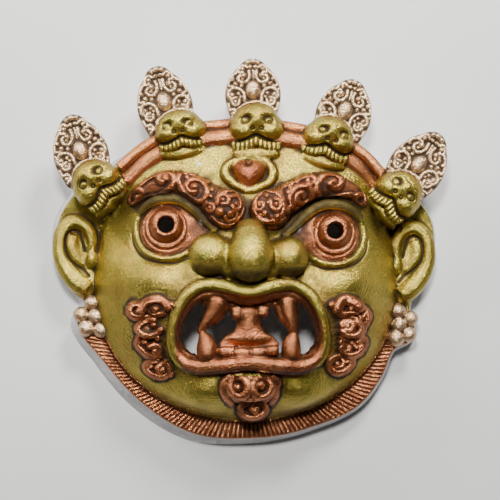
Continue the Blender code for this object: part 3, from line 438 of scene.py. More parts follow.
# The low masses under the locks beside the mouth and under the tuft of the chin
TUFT_MASSES = ((2, -136, 26, 15, 9), (4, -158, 14, 12, 9))
LOCK_DEPTH = 5
LOCK_MASSES = (
    (-107, -61, 13, 9), (-92, -57, 13, 8), (-100, -80, 12, 9), (-98, -97, 12, 9), (-89, -118, 12, 9),
    (104, -56, 13, 9), (114, -66, 8, 10), (101, -77, 14, 11), (103, -97, 12, 10), (91, -115, 12, 9),
)

# Carving: the distance it keeps from the pupils and from the drop, how much fuller than drawn its
# strokes are, how far the bed of the locks reaches past them, and how dark it is between them
EYE_REACH, DROP_REACH = 27, 22
STROKE_FULL, LEAF_FULL = 1.35, 1.3
BED_REACH, BED_RISE = 0.8, 2.5
SCROLL_LIFT, BROW_LIFT, LEAF_LIFT = 1.0, 1.15, 1.25
SCROLL_STAIN, LEAF_STAIN = 0.9, 0.95
LEAF_REACH, SKULL_REACH = 42, 34
SCROLL_JOBS = (
    # ridges, balls, west, east, south and north ends, lift, rise of the bed
    (BROW_RIDGES_LEFT, BROW_BALLS_LEFT, (-123, 3, 19, 82), BROW_LIFT, 0),
    (BROW_RIDGES_RIGHT, BROW_BALLS_RIGHT, (-5, 121, 19, 81), BROW_LIFT, 0),
    (LOCK_RIDGES_LEFT, LOCK_BALLS_LEFT, (-126, -69, -135, -42), SCROLL_LIFT, BED_RISE),
    (LOCK_RIDGES_RIGHT, LOCK_BALLS_RIGHT, (75, 128, -131, -42), SCROLL_LIFT, BED_RISE),
    (TUFT_RIDGES, TUFT_BALLS, (-31, 36, -176, -117), SCROLL_LIFT, BED_RISE),
)

# Dark marks that nothing is carved for, as ovals: u, v, half width, half length. Stains lie between
# the brows and in the corners of the eyes up to a height; painted shade lies under the nose and lip,
# above one height, on the surfaces that face down
BROW_CREASE, BROW_STAIN = (-0.5, 43, 4, 15), 0.8
EYE_CORNERS, CORNER_TOP, CORNER_STAIN = ((-49, 21, 15, 13), (53, 15, 15, 13)), 84, 0.7
UNDERSIDES, UNDER_HEIGHT, UNDER_SHADE = ((2, -18, 60, 24), (1, -121, 76, 12)), 60, 0.7
# Painted shadow of the brows on the upper lids: how far above the lids and how much wider it lies,
# and how dark it is
LID_UP, LID_WIDER, LID_SHADOW = 3.5, 1.5, 0.75

# The heights at which the paint ends on the side, above which the face and its lips are painted,
# and up to which the copper round the eyes reaches; the share of painted brown shade on steep flanks
PAINT_END = 22.5
PAINTED_ABOVE, EYE_COPPER_TOP = 30, 82
FAR_OUTSIDE = -9.0
LIP_GOLD = (-90, 90, -126, -30)  # west, east, south and north ends of the gold beside the lips
FLANK_SHADE = 0.6

# Places where the paint is worn through, and how far
WORN = (
    # u, v, half width, half length, share
    (-49, 87, 12, 8, 0.5), (-48, 27, 5, 8, 0.44), (52, 20, 5, 8, 0.44), (-35, 102, 11, 8, 0.46),
    (-124, 58, 6, 15, 0.42), (66, 100, 9, 6, 0.42),
)

# The ribs of the beard: their angles in degrees, the slant against the brim, which is parted at
# the chin, and the relief of each
RIB_COUNT = 88
RIB_FROM, RIB_TO = 198, 341
RIB_SLANT, RIB_PARTING = 28, 14
RIB_RADIUS, RIB_LIFT, RIB_STAIN = 1.9, 0.8, 0.25
BEARD_OUT = 0.955

# Marks of the clay, by number: the paints, bare resin, and two soft forms, which are eased and
# then painted gold and copper
PAINTS = ("gold", "copper", "orange", "pale", "bare", "nose", "tongue")

# The lights: their places and widths in metres, and the point at which all aim
LIGHTS = (
    ("key", (0.22, 0.62, 0.6), 0.2),
    ("top", (-0.08, 0.29, 0.97), 0.13),
    ("fill", (-0.6, 0.55, 0.42), 0.3),
)
LIGHT_AIM = (0, 0, 0.03)
SKY_COLOUR = (0.95, 0.97, 1, 1)
FLOOR_HALF = 3
FLOOR_DULL, FLOOR_CLOUD, FLOOR_ROUGH = 0.96, 6, 0.7
FILM_WIDTH = 36


class Sight:
    """How the drawing stands over the floor: the eye, its aim and the size of a unit."""

    def __init__(self, sizes):
        self.unit = sizes.width / WIDTH_UNITS
        self.rise = sizes.depth / DEPTH_UNITS
        self.eye = self.over(VIEW_U, VIEW_V, VIEW_HEIGHT)
        aim = self.over(AIM_U, 0, 0)
        self.reach = (aim - self.eye).length
        self.ahead = (aim - self.eye).normalized()
        self.right = self.ahead.cross(Vector((0, 1, 0))).normalized()
        self.up = self.right.cross(self.ahead)

    def over(self, u, v, height):
        """The point over a place of the plan, in metres."""
        return Vector(((u - MIDDLE_U) * self.unit, (v - MIDDLE_V) * self.unit, height * self.rise))

    def plan(self, point):
        """The place of the plan under a point."""
        return point.x / self.unit + MIDDLE_U, point.y / self.unit + MIDDLE_V

    def ray(self, u, v):
        """The way from the eye to the place that the drawing shows at u, v."""
        side = self.right * (u - AIM_U) + self.up * v
        return self.ahead * self.reach + side * self.unit

    def place(self, u, v, height):
        """The point at a height, in units, that the drawing shows at u, v."""
        way = self.ray(u, v)
        return self.eye + way * ((height * self.rise - self.eye.z) / way.z)

    def drawn(self, points):
        """Where the drawing shows points, as arrays of u and v."""
        apart = points - np.array(self.eye)
        depth = apart @ np.array(self.ahead) / self.reach * self.unit
        return AIM_U + apart @ np.array(self.right) / depth, apart @ np.array(self.up) / depth


def mirrored(row, middle, drop):
    """A drawing row on the other side of a middle line, lower by a drop."""
    return (2 * middle - row[0], row[1] - drop) + tuple(row[2:])


def both_sides(rows, middle, drop):
    """The left rows and the mirrored ones, as two lists."""
    return [list(rows), [mirrored(row, middle, drop) for row in rows]]


def ring_of(half, middle):
    """A closed path from its left half, which starts and ends on the middle line."""
    right = [mirrored(row, middle, 0) for row in half[1:-1]]
    return list(half) + right[::-1]


def turned(u, v, turn, a, b):
    """A drawing place beside u, v, in axes turned by some degrees."""
    cosine, sine = math.cos(math.radians(turn)), math.sin(math.radians(turn))
    return u + a * cosine - b * sine, v + a * sine + b * cosine


def in_box(u, v, low, high):
    """Whether drawing places lie between two corners."""
    return (u > low[0]) & (u < high[0]) & (v > low[1]) & (v < high[1])


def marked(paint, name):
    """Where the paint marks are those of one paint."""
    return paint == PAINTS.index(name)


def darken(stain_and_shade, chosen, shade):
    """Makes the darkening of chosen places, stain and painted shade alike, at least as dark as a
    value.
    """
    stain_and_shade[chosen] = np.maximum(stain_and_shade[chosen], shade)


def smooth_step(value, low, high):
    """Rises from 0 to 1 between two limits, without corners; for numbers and arrays."""
    share = np.clip((value - low) / (high - low), 0, 1)
    return share * share * (3 - 2 * share)


class Clay:
    """A lump of overlapping closed shapes, each marked with its paint."""

    def __init__(self, sight):
        self.sight = sight
        self.lump = bmesh.new()
        self.paint = 0
        seed = bmesh.new()
        bmesh.ops.create_uvsphere(seed, u_segments=28, v_segments=14, radius=1)
        self.seed = bpy.data.meshes.new("ball")
        seed.to_mesh(self.seed)
        seed.free()
        self.rolls = None
        self.new_rolls()

    def new_rolls(self):
        """Starts an empty curve whose strokes become round rolls, with radii in units."""
        self.rolls = bpy.data.curves.new("rolls", 'CURVE')
        self.rolls.dimensions = '3D'
        self.rolls.bevel_depth = self.sight.unit
        self.rolls.bevel_resolution = 3
        self.rolls.resolution_u = 8
        self.rolls.use_fill_caps = True

    def begin(self, paint):
        """Ends the shapes of one paint and begins those of the next."""
        if self.rolls.splines:
            holder = bpy.data.objects.new("rolls", self.rolls)
            mesh = bpy.data.meshes.new_from_object(holder)
            bpy.data.objects.remove(holder)
            self.pour(mesh)
            bmesh.ops.remove_doubles(self.lump, verts=self.lump.verts, dist=1e-6)
        bpy.data.curves.remove(self.rolls)
        self.new_rolls()
        self.paint = PAINTS.index(paint)

    def pour(self, mesh):
        """Adds a mesh to the lump in the paint of the moment, and lets the mesh go."""
        mesh.polygons.foreach_set("material_index", [self.paint] * len(mesh.polygons))
        self.lump.from_mesh(mesh)
        bpy.data.meshes.remove(mesh)

    def stand(self, mesh, centre, radii, turn):
        """Gives a unit shape its radii in units, turns it about the upright and pours it."""
        size = Matrix.Diagonal((*(radius * self.sight.unit for radius in radii), 1))
        spin = Matrix.Rotation(math.radians(turn), 4, 'Z')
        mesh.transform(Matrix.Translation(centre) @ spin @ size)
        self.pour(mesh)

    def ball(self, centre, radii, turn=0):
        """An ellipsoid."""
        self.stand(self.seed.copy(), centre, radii, turn)

    def pillow(self, centre, radii, turn=0):
        """A ball with flattened sides and rounded corners."""
        mesh = self.seed.copy()
        squareness = 0.6
        for vert in mesh.vertices:
            vert.co = [math.copysign(abs(part) ** squareness, part) for part in vert.co]
        self.stand(mesh, centre, radii, turn)

    def roll(self, points, radii, closed=False):
        """One smooth stroke through points."""
        spline = self.rolls.splines.new('BEZIER')
        spline.bezier_points.add(len(points) - 1)
        for knot, point, radius in zip(spline.bezier_points, points, radii):
            knot.co = point
            knot.radius = radius
            knot.handle_left_type = 'AUTO'
            knot.handle_right_type = 'AUTO'
        spline.use_cyclic_u = closed

    def slab(self, outline, height, thickness):
        """A flat plate with an outline in the drawing, its upper side at a height."""
        curve = bpy.data.curves.new("slab", 'CURVE')
        curve.dimensions = '2D'
        curve.fill_mode = 'BOTH'
        curve.extrude = thickness / 2
        spline = curve.splines.new('BEZIER')
        spline.bezier_points.add(len(outline) - 1)
        for knot, (u, v) in zip(spline.bezier_points, outline):
            point = self.sight.place(u, v, height)
            knot.co = (point.x, point.y, 0)
            knot.handle_left_type = 'AUTO'
            knot.handle_right_type = 'AUTO'
        spline.use_cyclic_u = True
        holder = bpy.data.objects.new("slab", curve)
        mesh = bpy.data.meshes.new_from_object(holder)
        mesh.transform(Matrix.Translation((0, 0, height * self.sight.rise - thickness / 2)))
        bpy.data.objects.remove(holder)
        bpy.data.curves.remove(curve)
        self.pour(mesh)

    def on_face(self, u, v, rise):
        """The point some units above the bare face that the drawing shows at u, v."""
        height = FACE_TOP
        for guess in range(3):
            point = self.sight.place(u, v, height)
            height = face_height(*self.sight.plan(point)) + rise
        return self.sight.place(u, v, height)


def rim_knots(sight):
    """The rim's outline as angle and radius about the face's centre, in order of angle."""
    rows = []
    for u, v in RIM:
        x, y = sight.plan(sight.place(u, v, 0))
        angle = math.atan2(y - FACE_V, x - FACE_U)
        rows.append((angle, math.hypot(x - FACE_U, y - FACE_V)))
    return sorted(rows)


def rim_radius(knots, angle):
    """Radius of the rim at an angle, on a smooth closed curve through its knots."""
    count = len(knots)
    after = next((index for index in range(count) if knots[index][0] > angle), count)
    rows = []
    for index in range(after - 2, after + 2):
        turns = index // count
        rows.append((knots[index % count][0] + turns * math.tau, knots[index % count][1]))
    (a0, r0), (a1, r1), (a2, r2), (a3, r3) = rows
    span = a2 - a1
    share = (angle - a1) / span
    slope1 = (r2 - r0) / (a2 - a0) * span
    slope2 = (r3 - r1) / (a3 - a1) * span
    square = share * share
    cube = square * share
    value = (2 * cube - 3 * square + 1) * r1 + (cube - 2 * square + share) * slope1
    return value + (3 * square - 2 * cube) * r2 + (cube - square) * slope2


def rim_height(angle):
    """Height of the shell's edge: low at the jaw and the ears, higher behind the crown."""
    return RIM_LOW + (RIM_HIGH - RIM_LOW) * float(smooth_step(math.sin(angle), *RIM_CLIMB))


def rim_slope(angle):
    """How far the skirt leans in for each unit of height: most below the left ear."""
    apart = math.remainder(angle - math.radians(SPLAY_ANGLE), math.tau)
    return RIM_SLOPE + RIM_SPLAY * math.exp(-(apart / SPLAY_SPREAD) ** 2)


def face_height(x, y):
    """Height of the bare face above the rim, in units, at a plan place in units."""
    across, along = x - FACE_U, y - FACE_V
    reach = FACE_CROWN if along > 0 else FACE_CHIN
    out = abs(across / FACE_SIDE) ** FACE_SQUARE + abs(along / reach) ** FACE_SQUARE
    edge = rim_height(math.atan2(along, across))
    height = edge
    if out < 1:
        height += (FACE_TOP - edge) * (1 - out ** DOME_OUT) ** DOME_UP
        fade = float(smooth_step(1 - out, 0, SWELL_FADE))
        for u, v, wide, long, swell, square in SWELLS:
            far = ((x - u) / wide) ** 2 + ((y - v) / long) ** 2
            height += swell * math.exp(-far ** square) * fade
    return height


def inside(outline, x, y):
    """Whether a place lies inside an outline."""
    crossings = 0
    for (x1, y1), (x2, y2) in zip(outline, outline[1:] + outline[:1]):
        if (y1 > y) != (y2 > y) and x < x1 + (x2 - x1) * (y - y1) / (y2 - y1):
            crossings += 1
    return crossings % 2 == 1


def pupils():
    """Both pupils as drawing rows."""
    return [PUPIL, mirrored(PUPIL, EYE_MIDDLE, EYE_DROP)]


def open_shell(clay, bore):
    """The bare face, its brim and its skirt as one skin, open at the mouth, pupils and back."""
    sight = clay.sight
    skin = bmesh.new()
    rings, skirt, spokes = 96, 12, 264
    spine = [skin.verts.new((step, 0, 0)) for step in range(rings + skirt + 1)]
    edges = [skin.edges.new(pair) for pair in zip(spine, spine[1:])]
    bmesh.ops.spin(skin, geom=spine + edges, cent=(0, 0, 0), axis=(0, 0, 1), dvec=(0, 0, 0),
                   angle=math.tau, steps=spokes, use_merge=True)
    bmesh.ops.remove_doubles(skin, verts=skin.verts, dist=1e-3)
    knots = rim_knots(sight)
    sink = 6
    clear = 0.75
    outers = {}
    for vert in skin.verts:
        ring = vert.co.length
        angle = math.atan2(vert.co.y, vert.co.x)
        key = round(angle, 4)
        if key not in outers:
            outers[key] = (rim_height(angle), rim_radius(knots, angle), rim_slope(angle))
        edge, outer, slope = outers[key]
        if ring <= rings:
            reach = (outer - slope * edge) * ring / rings
        else:
            height = edge - (edge + sink) * (ring - rings) / skirt
            reach = outer - slope * height
        x, y = FACE_U + reach * math.cos(angle), FACE_V + reach * math.sin(angle)
        if ring <= rings:
            height = face_height(x, y)
        vert.co = sight.over(x, y, height)
    mouth = [clay.on_face(row[0], row[1], LIP_RISE) for row in ring_of(LIP_INNER, MOUTH_MIDDLE)]
    mouth = [(point.x, point.y) for point in mouth]
    eyes = [sight.place(*row) for row in pupils()]
    gone = []
    for face in skin.faces:
        centre = face.calc_center_median()
        near = any((centre.xy - eye.xy).length < bore * clear for eye in eyes)
        if near or inside(mouth, centre.x, centre.y):
            gone.append(face)
    bmesh.ops.delete(skin, geom=gone, context='FACES')
    bmesh.ops.recalc_face_normals(skin, faces=skin.faces)
    if sum(face.normal.z for face in skin.faces) < 0:
        bmesh.ops.reverse_faces(skin, faces=skin.faces)
    return skin


def evaluated_mesh(item):
    """A mesh of what an object's modifiers make of it; the object is removed."""
    bpy.context.scene.collection.objects.link(item)
    bpy.context.view_layer.update()
    seen = item.evaluated_get(bpy.context.evaluated_depsgraph_get())
    mesh = bpy.data.meshes.new_from_object(seen)
    bpy.data.objects.remove(item)
    return mesh


def settled(lump):
    """A lump's mesh with its faces in a fixed order, each from its lowest corner."""
    lump.verts.index_update()
    rows = []
    for face in lump.faces:
        ring = [vert.index for vert in face.verts]
        low = ring.index(min(ring))
        rows.append((ring[low:] + ring[:low], face.material_index))
    rows.sort()
    mesh = bpy.data.meshes.new("settled")
    mesh.from_pydata([vert.co for vert in lump.verts], [], [row[0] for row in rows])
    mesh.polygons.foreach_set("material_index", [row[1] for row in rows])
    lump.free()
    return mesh


def add_shell(clay, sizes):
    """The skin with its wall."""
    clay.begin("gold")
    item = bpy.data.objects.new("shell", settled(open_shell(clay, sizes.pupil_bore)))
    wall = item.modifiers.new("wall", 'SOLIDIFY')
    wall.thickness = sizes.wall
    wall.offset = -1
    wall.use_even_offset = True
    clay.pour(evaluated_mesh(item))


def add_nose(clay):
    """A heavy bulb that rises from the bridge, with a round wing on each side."""
    clay.begin("nose")
    place = clay.sight.place
    for u, v, height, wide, long, deep in NOSE_BULB + NOSE_WINGS:
        clay.ball(place(u, v, height), (wide, long, deep))


def add_mouth(clay):
    """Two rolled lips round a wide open mouth, with tusks, teeth and tongue across it."""
    place = clay.sight.place
    clay.begin("gold")
    path = ring_of(LIP_OUTER, MOUTH_MIDDLE)
    clay.roll([clay.on_face(u, v, LIP_RISE) for u, v, radius in path], [row[2] for row in path], True)
    clay.begin("copper")
    path = ring_of(LIP_INNER, MOUTH_MIDDLE)
    points = [clay.on_face(u, v, LIP_RISE - LIP_SUNK) for u, v, radius in path]
    clay.roll(points, [row[2] for row in path], True)
    for gum in GUMS:
        clay.roll([place(u, v, GUM_HEIGHT) for u, v in gum], [GUM_RADIUS] * len(gum))
    for tusk in TUSKS:
        for u, v, radius in smooth_path(tusk, 2):
            clay.ball(place(u, v, TUSK_HEIGHT), (radius, radius, radius))
    for u, v, wide, long in INCISORS:
        clay.pillow(place(u, v, TEETH_HEIGHT), (wide, long, INCISOR_DEPTH))
    for u, v, wide in LOWER_TEETH:
        clay.pillow(place(u, v, LOWER_HEIGHT), (wide, LOWER_LENGTH, LOWER_DEPTH))
    clay.begin("tongue")
    clay.slab(TONGUE, TONGUE_HEIGHT, TONGUE_THICK * clay.sight.rise)
    for u, v, wide, long in TONGUE_SWELLS:
        clay.ball(place(u, v, TONGUE_MIDDLE), (wide, long, TONGUE_DEPTH))


def add_eyes(clay, bore):
    """Bulging ringed eyeballs with an open pupil, between rolled lids."""
    clay.begin("copper")
    eye = bmesh.new()
    rise = clay.sight.rise
    rows = [eye.verts.new((bore / 2 * out, 0, height * rise)) for height, out in EYEBALL]
    edges = [eye.edges.new(pair) for pair in zip(rows, rows[1:] + rows[:1])]
    bmesh.ops.spin(eye, geom=rows + edges, cent=(0, 0, 0), axis=(0, 0, 1), dvec=(0, 0, 0),
                   angle=math.tau, steps=64, use_merge=True)
    bmesh.ops.recalc_face_normals(eye, faces=eye.faces)
    for vert in eye.verts:
        outer = smooth_step(vert.co.xy.length / (bore / 2), SAG_FROM, SAG_TO)
        vert.co.y -= EYE_SAG * clay.sight.unit * outer
    for pupil in pupils():
        mesh = bpy.data.meshes.new("eye")
        eye.to_mesh(mesh)
        mesh.transform(Matrix.Translation(clay.sight.place(*pupil)))
        clay.pour(mesh)
    eye.free()
    clay.begin("gold")
    for lid in (LID_UPPER, LID_LOWER):
        for rows in both_sides(lid, EYE_MIDDLE, EYE_DROP):
            points = [clay.on_face(u, v, LID_RISE * radius) for u, v, radius in rows]
            clay.roll(points, [row[2] for row in rows])


def add_brows(clay):
    """The rounded masses of the brows, which swell towards the nose."""
    clay.begin("copper")
    for rows in both_sides(BROW, BROW_MIDDLE, BROW_DROP):
        points = [clay.on_face(u, v, BROW_RISE * radius) for u, v, radius in rows]
        clay.roll(points, [row[2] for row in rows])
        clay.ball(points[-1], BROW_BULB)


def add_third_eye(clay):
    """A drop in a recess, in a raised rim on the forehead."""
    clay.begin("gold")
    points = [clay.on_face(u, v, THIRD_RISE) for u, v, radius in THIRD_RIM]
    clay.roll(points, [row[2] for row in THIRD_RIM], True)
    clay.begin("tongue")
    for u, v, wide, long, deep in DROP:
        clay.ball(clay.on_face(u, v, 0), (wide, long, deep))


def add_band(clay):
    """A smooth roll round the forehead, with a broader low band inside it."""
    clay.begin("orange")
    outer = [clay.sight.place(u, v, BAND_HEIGHT) for u, v in BAND]
    clay.roll(outer, [BAND_RADIUS] * len(BAND))
    inner = [clay.on_face(u * INNER_SHARE, v - INNER_DROP, -INNER_SUNK) for u, v in BAND]
    clay.roll(inner, [INNER_RADIUS] * len(BAND))


def skull_place(skull, a, b):
    """A drawing place on a skull, across and along it."""
    u, v, turn, wide, tall, look = skull
    return turned(u, v, turn, a * wide, b * tall)


def skull_tooth(step):
    """Where the middle of a tooth lies across and along a skull, for a step from -1 to 1."""
    return TOOTH_REACH * step, -TOOTH_DROP - TOOTH_ARCH * math.sin(TOOTH_BEND * abs(step))


def add_skulls(clay):
    """Five grinning skulls on the band, wide in the jaw, with an arched row of teeth."""
    place = clay.sight.place
    clay.begin("gold")
    for skull in SKULLS:
        turn, broad, tall = skull[2:5]
        for a, b, wide, long, deep in SKULL_DOME:
            centre = place(*skull_place(skull, a, b), SKULL_HEIGHT)
            clay.ball(centre, (wide * broad, long * tall, deep), turn)
        jaw = [skull_place(skull, a, b) for a, b in SKULL_JAW]
        clay.roll([place(u, v, SKULL_HEIGHT - JAW_SUNK) for u, v in jaw], [JAW_RADIUS] * len(jaw))
        clay.ball(clay.on_face(*skull_place(skull, 0, -COLLAR_DROP), 0), COLLAR, turn)
        steps = [2 * tooth / (SKULL_TEETH - 1) - 1 for tooth in range(SKULL_TEETH)]
        gum = [skull_place(skull, *skull_tooth(step)) for step in steps]
        clay.roll([place(u, v, SKULL_HEIGHT) for u, v in gum], [SKULL_GUM] * SKULL_TEETH)
        wide, long, deep = SKULL_TOOTH
        for step, (u, v) in zip(steps, gum):
            centre = place(u, v, SKULL_HEIGHT + TOOTH_RISE - TOOTH_CURVE * step * step)
            clay.pillow(centre, (wide * broad, long * tall, deep), turn - TOOTH_FAN * step)


def leaf_place(leaf, a, b):
    """A drawing place on a leaf, across and along it; the leaf's tip may be drawn out."""
    u, v, turn, stretch = leaf
    return turned(u, v, turn, a, b * stretch if b > 0 else b)


def add_leaves(clay, thickness):
    """Five free plates with a pointed tip, and a smooth oval boss on each."""
    clay.begin("pale")
    for leaf in LEAVES:
        half = list(LEAF_HALF)
        outline = half + [(-a, b) for a, b in half[:0:-1]]
        clay.slab([leaf_place(leaf, a, b) for a, b in outline], LEAF_HEIGHT, thickness)
        clay.ball(clay.sight.place(leaf[0], leaf[1], LEAF_HEIGHT), CABOCHON, leaf[2])


def add_ears(clay):
    """Low ears with a broad outer roll and an inner fold, and a cluster of beads under each."""
    place = clay.sight.place
    clay.begin("gold")
    for stroke in (HELIX, ANTIHELIX):
        for rows in both_sides(stroke, EAR_MIDDLE, EAR_DROP):
            points = [place(u, v, EAR_HEIGHT) for u, v, radius in rows]
            clay.roll(points, [row[2] for row in rows])
    for rows in both_sides(EAR_BODY, EAR_MIDDLE, EAR_DROP):
        for u, v, wide, long, deep in rows:
            clay.ball(place(u, v, EAR_HEIGHT - EAR_SUNK), (wide, long, deep))
    clay.begin("pale")
    for u, v, radius in BEADS:
        clay.ball(place(u, v, BEAD_HEIGHT), (radius, radius, radius))


def add_masses(clay):
    """The low masses that the locks and the tuft are carved from."""
    clay.begin("copper")
    for u, v, wide, long in LOCK_MASSES:
        clay.ball(clay.on_face(u, v, 0), (wide, long, LOCK_DEPTH))
    for u, v, wide, long, deep in TUFT_MASSES:
        clay.ball(clay.on_face(u, v, 0), (wide, long, deep))


def model_clay(sight, sizes):
    """All forms of the mask as one mesh of overlapping closed shapes."""
    clay = Clay(sight)
    add_shell(clay, sizes)
    add_nose(clay)
    add_mouth(clay)
    add_eyes(clay, sizes.pupil_bore)
    add_brows(clay)
    add_third_eye(clay)
    add_band(clay)
    add_skulls(clay)
    add_leaves(clay, sizes.leaf_thickness)
    add_ears(clay)
    add_masses(clay)
    # Pours the last rolls
    clay.begin("gold")
    bpy.data.meshes.remove(clay.seed)
    return settled(clay.lump)


def smooth_path(rows, gap=0.6):
    """Rows of u, v and radius along a smooth stroke through its knots, evenly spaced."""
    knots = np.array(rows, float)
    ends = np.vstack([2 * knots[0] - knots[1], knots, 2 * knots[-1] - knots[-2]])
    found = [knots[:1]]
    for a, b, c, d in zip(ends, ends[1:], ends[2:], ends[3:]):
        steps = max(2, int(np.hypot(*(c - b)[:2]) / gap))
        t = (np.arange(steps) + 1)[:, None] / steps
        found.append(0.5 * (2 * b + (c - a) * t + (2 * a - 5 * b + 4 * c - d) * t ** 2
                            + (3 * b - a - 3 * c + d) * t ** 3))
    return np.vstack(found)


def with_radius(radius, points):
    """Knots of one stroke as rows of u, v and radius."""
    return [(u, v, radius) for u, v in points]


def widened(strokes, margin):
    """Strokes with a wider radius."""
    return [[(u, v, radius + margin) for u, v, radius in rows] for rows in strokes]


def ridge_height(u, v, strokes):
    """Height in units that round strokes raise over drawing places."""
    height = np.zeros(len(u))
    for rows in strokes:
        path = smooth_path(rows) if len(rows) > 1 else np.array(rows, float)
        low, high = (path[:, :2] - path[:, 2:]).min(0), (path[:, :2] + path[:, 2:]).max(0)
        near = np.flatnonzero(in_box(u, v, low, high))
        if not len(near):
            continue
        apart = (u[near, None] - path[:, 0]) ** 2 + (v[near, None] - path[:, 1]) ** 2
        share = apart / path[:, 2] ** 2
        best = share.argmin(axis=1)
        left = 1 - share[np.arange(len(near)), best]
        rise = path[best, 2] * np.sqrt(np.maximum(0, left))
        height[near] = np.maximum(height[near], rise)
    return height


def depth_inside(outline, u, v):
    """How far drawing places lie inside an outline, in units; less than 0 outside."""
    corners = np.array(outline, float)
    ends = np.roll(corners, -1, axis=0)
    margin = 3
    depth = np.full(len(u), FAR_OUTSIDE)
    low, high = corners.min(0) - margin, corners.max(0) + margin
    near = np.flatnonzero(in_box(u, v, low, high))
    pu, pv = u[near], v[near]
    best = np.full(len(near), np.inf)
    odd = np.zeros(len(near), bool)
    for (au, av), (bu, bv) in zip(corners, ends):
        du, dv = bu - au, bv - av
        share = np.clip(((pu - au) * du + (pv - av) * dv) / (du * du + dv * dv), 0, 1)
        best = np.minimum(best, (pu - au - share * du) ** 2 + (pv - av - share * dv) ** 2)
        if bv != av:
            crosses = ((av > pv) != (bv > pv)) & (pu < au + du * (pv - av) / dv)
            odd ^= crosses
    depth[near] = np.where(odd, 1, -1) * np.sqrt(best)
    return depth


class Surface:
    """The fused surface as arrays, for carving and painting."""

    def __init__(self, mesh, sight):
        self.mesh, self.sight = mesh, sight
        count = len(mesh.vertices)
        self.co = np.empty(count * 3, np.float32)
        mesh.vertices.foreach_get("co", self.co)
        self.co = self.co.reshape(-1, 3).astype(float)
        edges = np.empty(len(mesh.edges) * 2, np.int32)
        mesh.edges.foreach_get("vertices", edges)
        self.ends = edges.reshape(-1, 2)
        self.degree = np.bincount(edges, minlength=count).astype(float)
        self.read()

    def read(self):
        """Takes the normals and the drawing places of the surface as it now is."""
        self.mesh.vertices.foreach_set("co", self.co.astype(np.float32).ravel())
        self.mesh.update()
        normals = np.empty(len(self.co) * 3, np.float32)
        self.mesh.vertex_normals.foreach_get("vector", normals)
        self.normal = normals.reshape(-1, 3).astype(float)
        self.u, self.v = self.sight.drawn(self.co)
        self.height = self.co[:, 2] / self.sight.rise

    def eased(self, values, rounds):
        """Values averaged with their neighbours, some rounds over."""
        count = len(self.co)
        first, second = self.ends[:, 0], self.ends[:, 1]
        for turn in range(rounds):
            total = np.bincount(first, values[second], count)
            total += np.bincount(second, values[first], count)
            values = (values + total) / (self.degree + 1)
        return values

    def soften(self, share, rounds):
        """Eases the surface itself where a share from 0 to 1 says so."""
        for axis in range(3):
            values = self.co[:, axis]
            for turn in range(rounds):
                values = values + share * (self.eased(values, 1) - values)
            self.co[:, axis] = values

    def hollowness(self, rounds):
        """How far the surface lies under its eased self, in units; less than 0 on humps."""
        total = np.zeros(len(self.co))
        for axis in range(3):
            apart = self.eased(self.co[:, axis], rounds) - self.co[:, axis]
            total += apart * self.normal[:, axis]
        return total / self.sight.unit

    def lift(self, chosen, rise):
        """Moves chosen places up by some units."""
        self.co[chosen, 2] += rise * self.sight.unit


def near_paints(surface, forms_mesh):
    """The paint mark of the form nearest to each place that faces up or sideways."""
    turned_away = -0.35
    corners = [vert.co for vert in forms_mesh.vertices]
    rings = [tuple(face.vertices) for face in forms_mesh.polygons]
    marks = np.array([face.material_index for face in forms_mesh.polygons])
    forms = BVHTree.FromPolygons(corners, rings)
    paint = np.full(len(surface.co), PAINTS.index("bare"))
    for index in np.flatnonzero(surface.normal[:, 2] > turned_away):
        point, normal, face, far = forms.find_nearest(surface.co[index])
        paint[index] = marks[face]
    return paint


def leaf_strokes(leaf, skull):
    """All carving of one leaf, as strokes in the drawing."""
    strokes = [with_radius(CROWN_RADIUS, [skull_place(skull, a, b) for a, b in CROWN_LINE])]
    for side in (-1, 1):
        for radius, points in LEAF_RIDGES:
            places = [leaf_place(leaf, side * a, b) for a, b in points]
            strokes.append(with_radius(radius * LEAF_FULL, places))
        for a, b, radius in LEAF_BALLS:
            strokes.append([(*leaf_place(leaf, side * a, b), radius * LEAF_FULL)])
    radius, points = LEAF_STEM
    strokes.append(with_radius(radius, [leaf_place(leaf, a, b) for a, b in points]))
    return strokes


def carve_leaves(surface, paint, stain_and_shade):
    """Scrollwork raised on the leaves, dark between its strokes."""
    for leaf, skull in zip(LEAVES, SKULLS):
        u, v, turn, stretch = leaf
        far = np.hypot(surface.u - u, surface.v - v)
        plate = marked(paint, "pale") & (surface.normal[:, 2] > 0.5) & (far < LEAF_REACH)
        chosen = np.flatnonzero(plate & (surface.height > LEAF_HEIGHT - 3))
        pu, pv = surface.u[chosen], surface.v[chosen]
        rise = ridge_height(pu, pv, leaf_strokes(leaf, skull))
        cosine, sine = math.cos(math.radians(turn)), math.sin(math.radians(turn))
        a = (pu - u) * cosine + (pv - v) * sine
        b = (pv - v) * cosine - (pu - u) * sine
        boss = (a / CABOCHON[0]) ** 2 + (b / CABOCHON[1]) ** 2
        round_boss, on_boss = 1.15, 0.95
        rise = np.where(boss < round_boss, 0, rise)
        surface.lift(chosen, LEAF_LIFT * rise)
        between = LEAF_STAIN * (1 - smooth_step(rise, 0.0, 0.9))
        stain_and_shade[chosen] = np.where(boss < on_boss, 0, between)


def carve_strokes(surface, chosen, strokes, lift, stain_and_shade, dark):
    """Raises strokes on chosen places and stains what lies between them."""
    u, v = surface.u[chosen], surface.v[chosen]
    rise = ridge_height(u, v, strokes)
    foot = smooth_step(ridge_height(u, v, widened(strokes, 1.8)), 0.3, 2.2)
    least = 0.45
    surface.lift(chosen, lift * rise)
    between = dark * (least + (1 - least) * foot) * (1 - smooth_step(rise, 0.05, 1.1))
    darken(stain_and_shade, chosen, between)


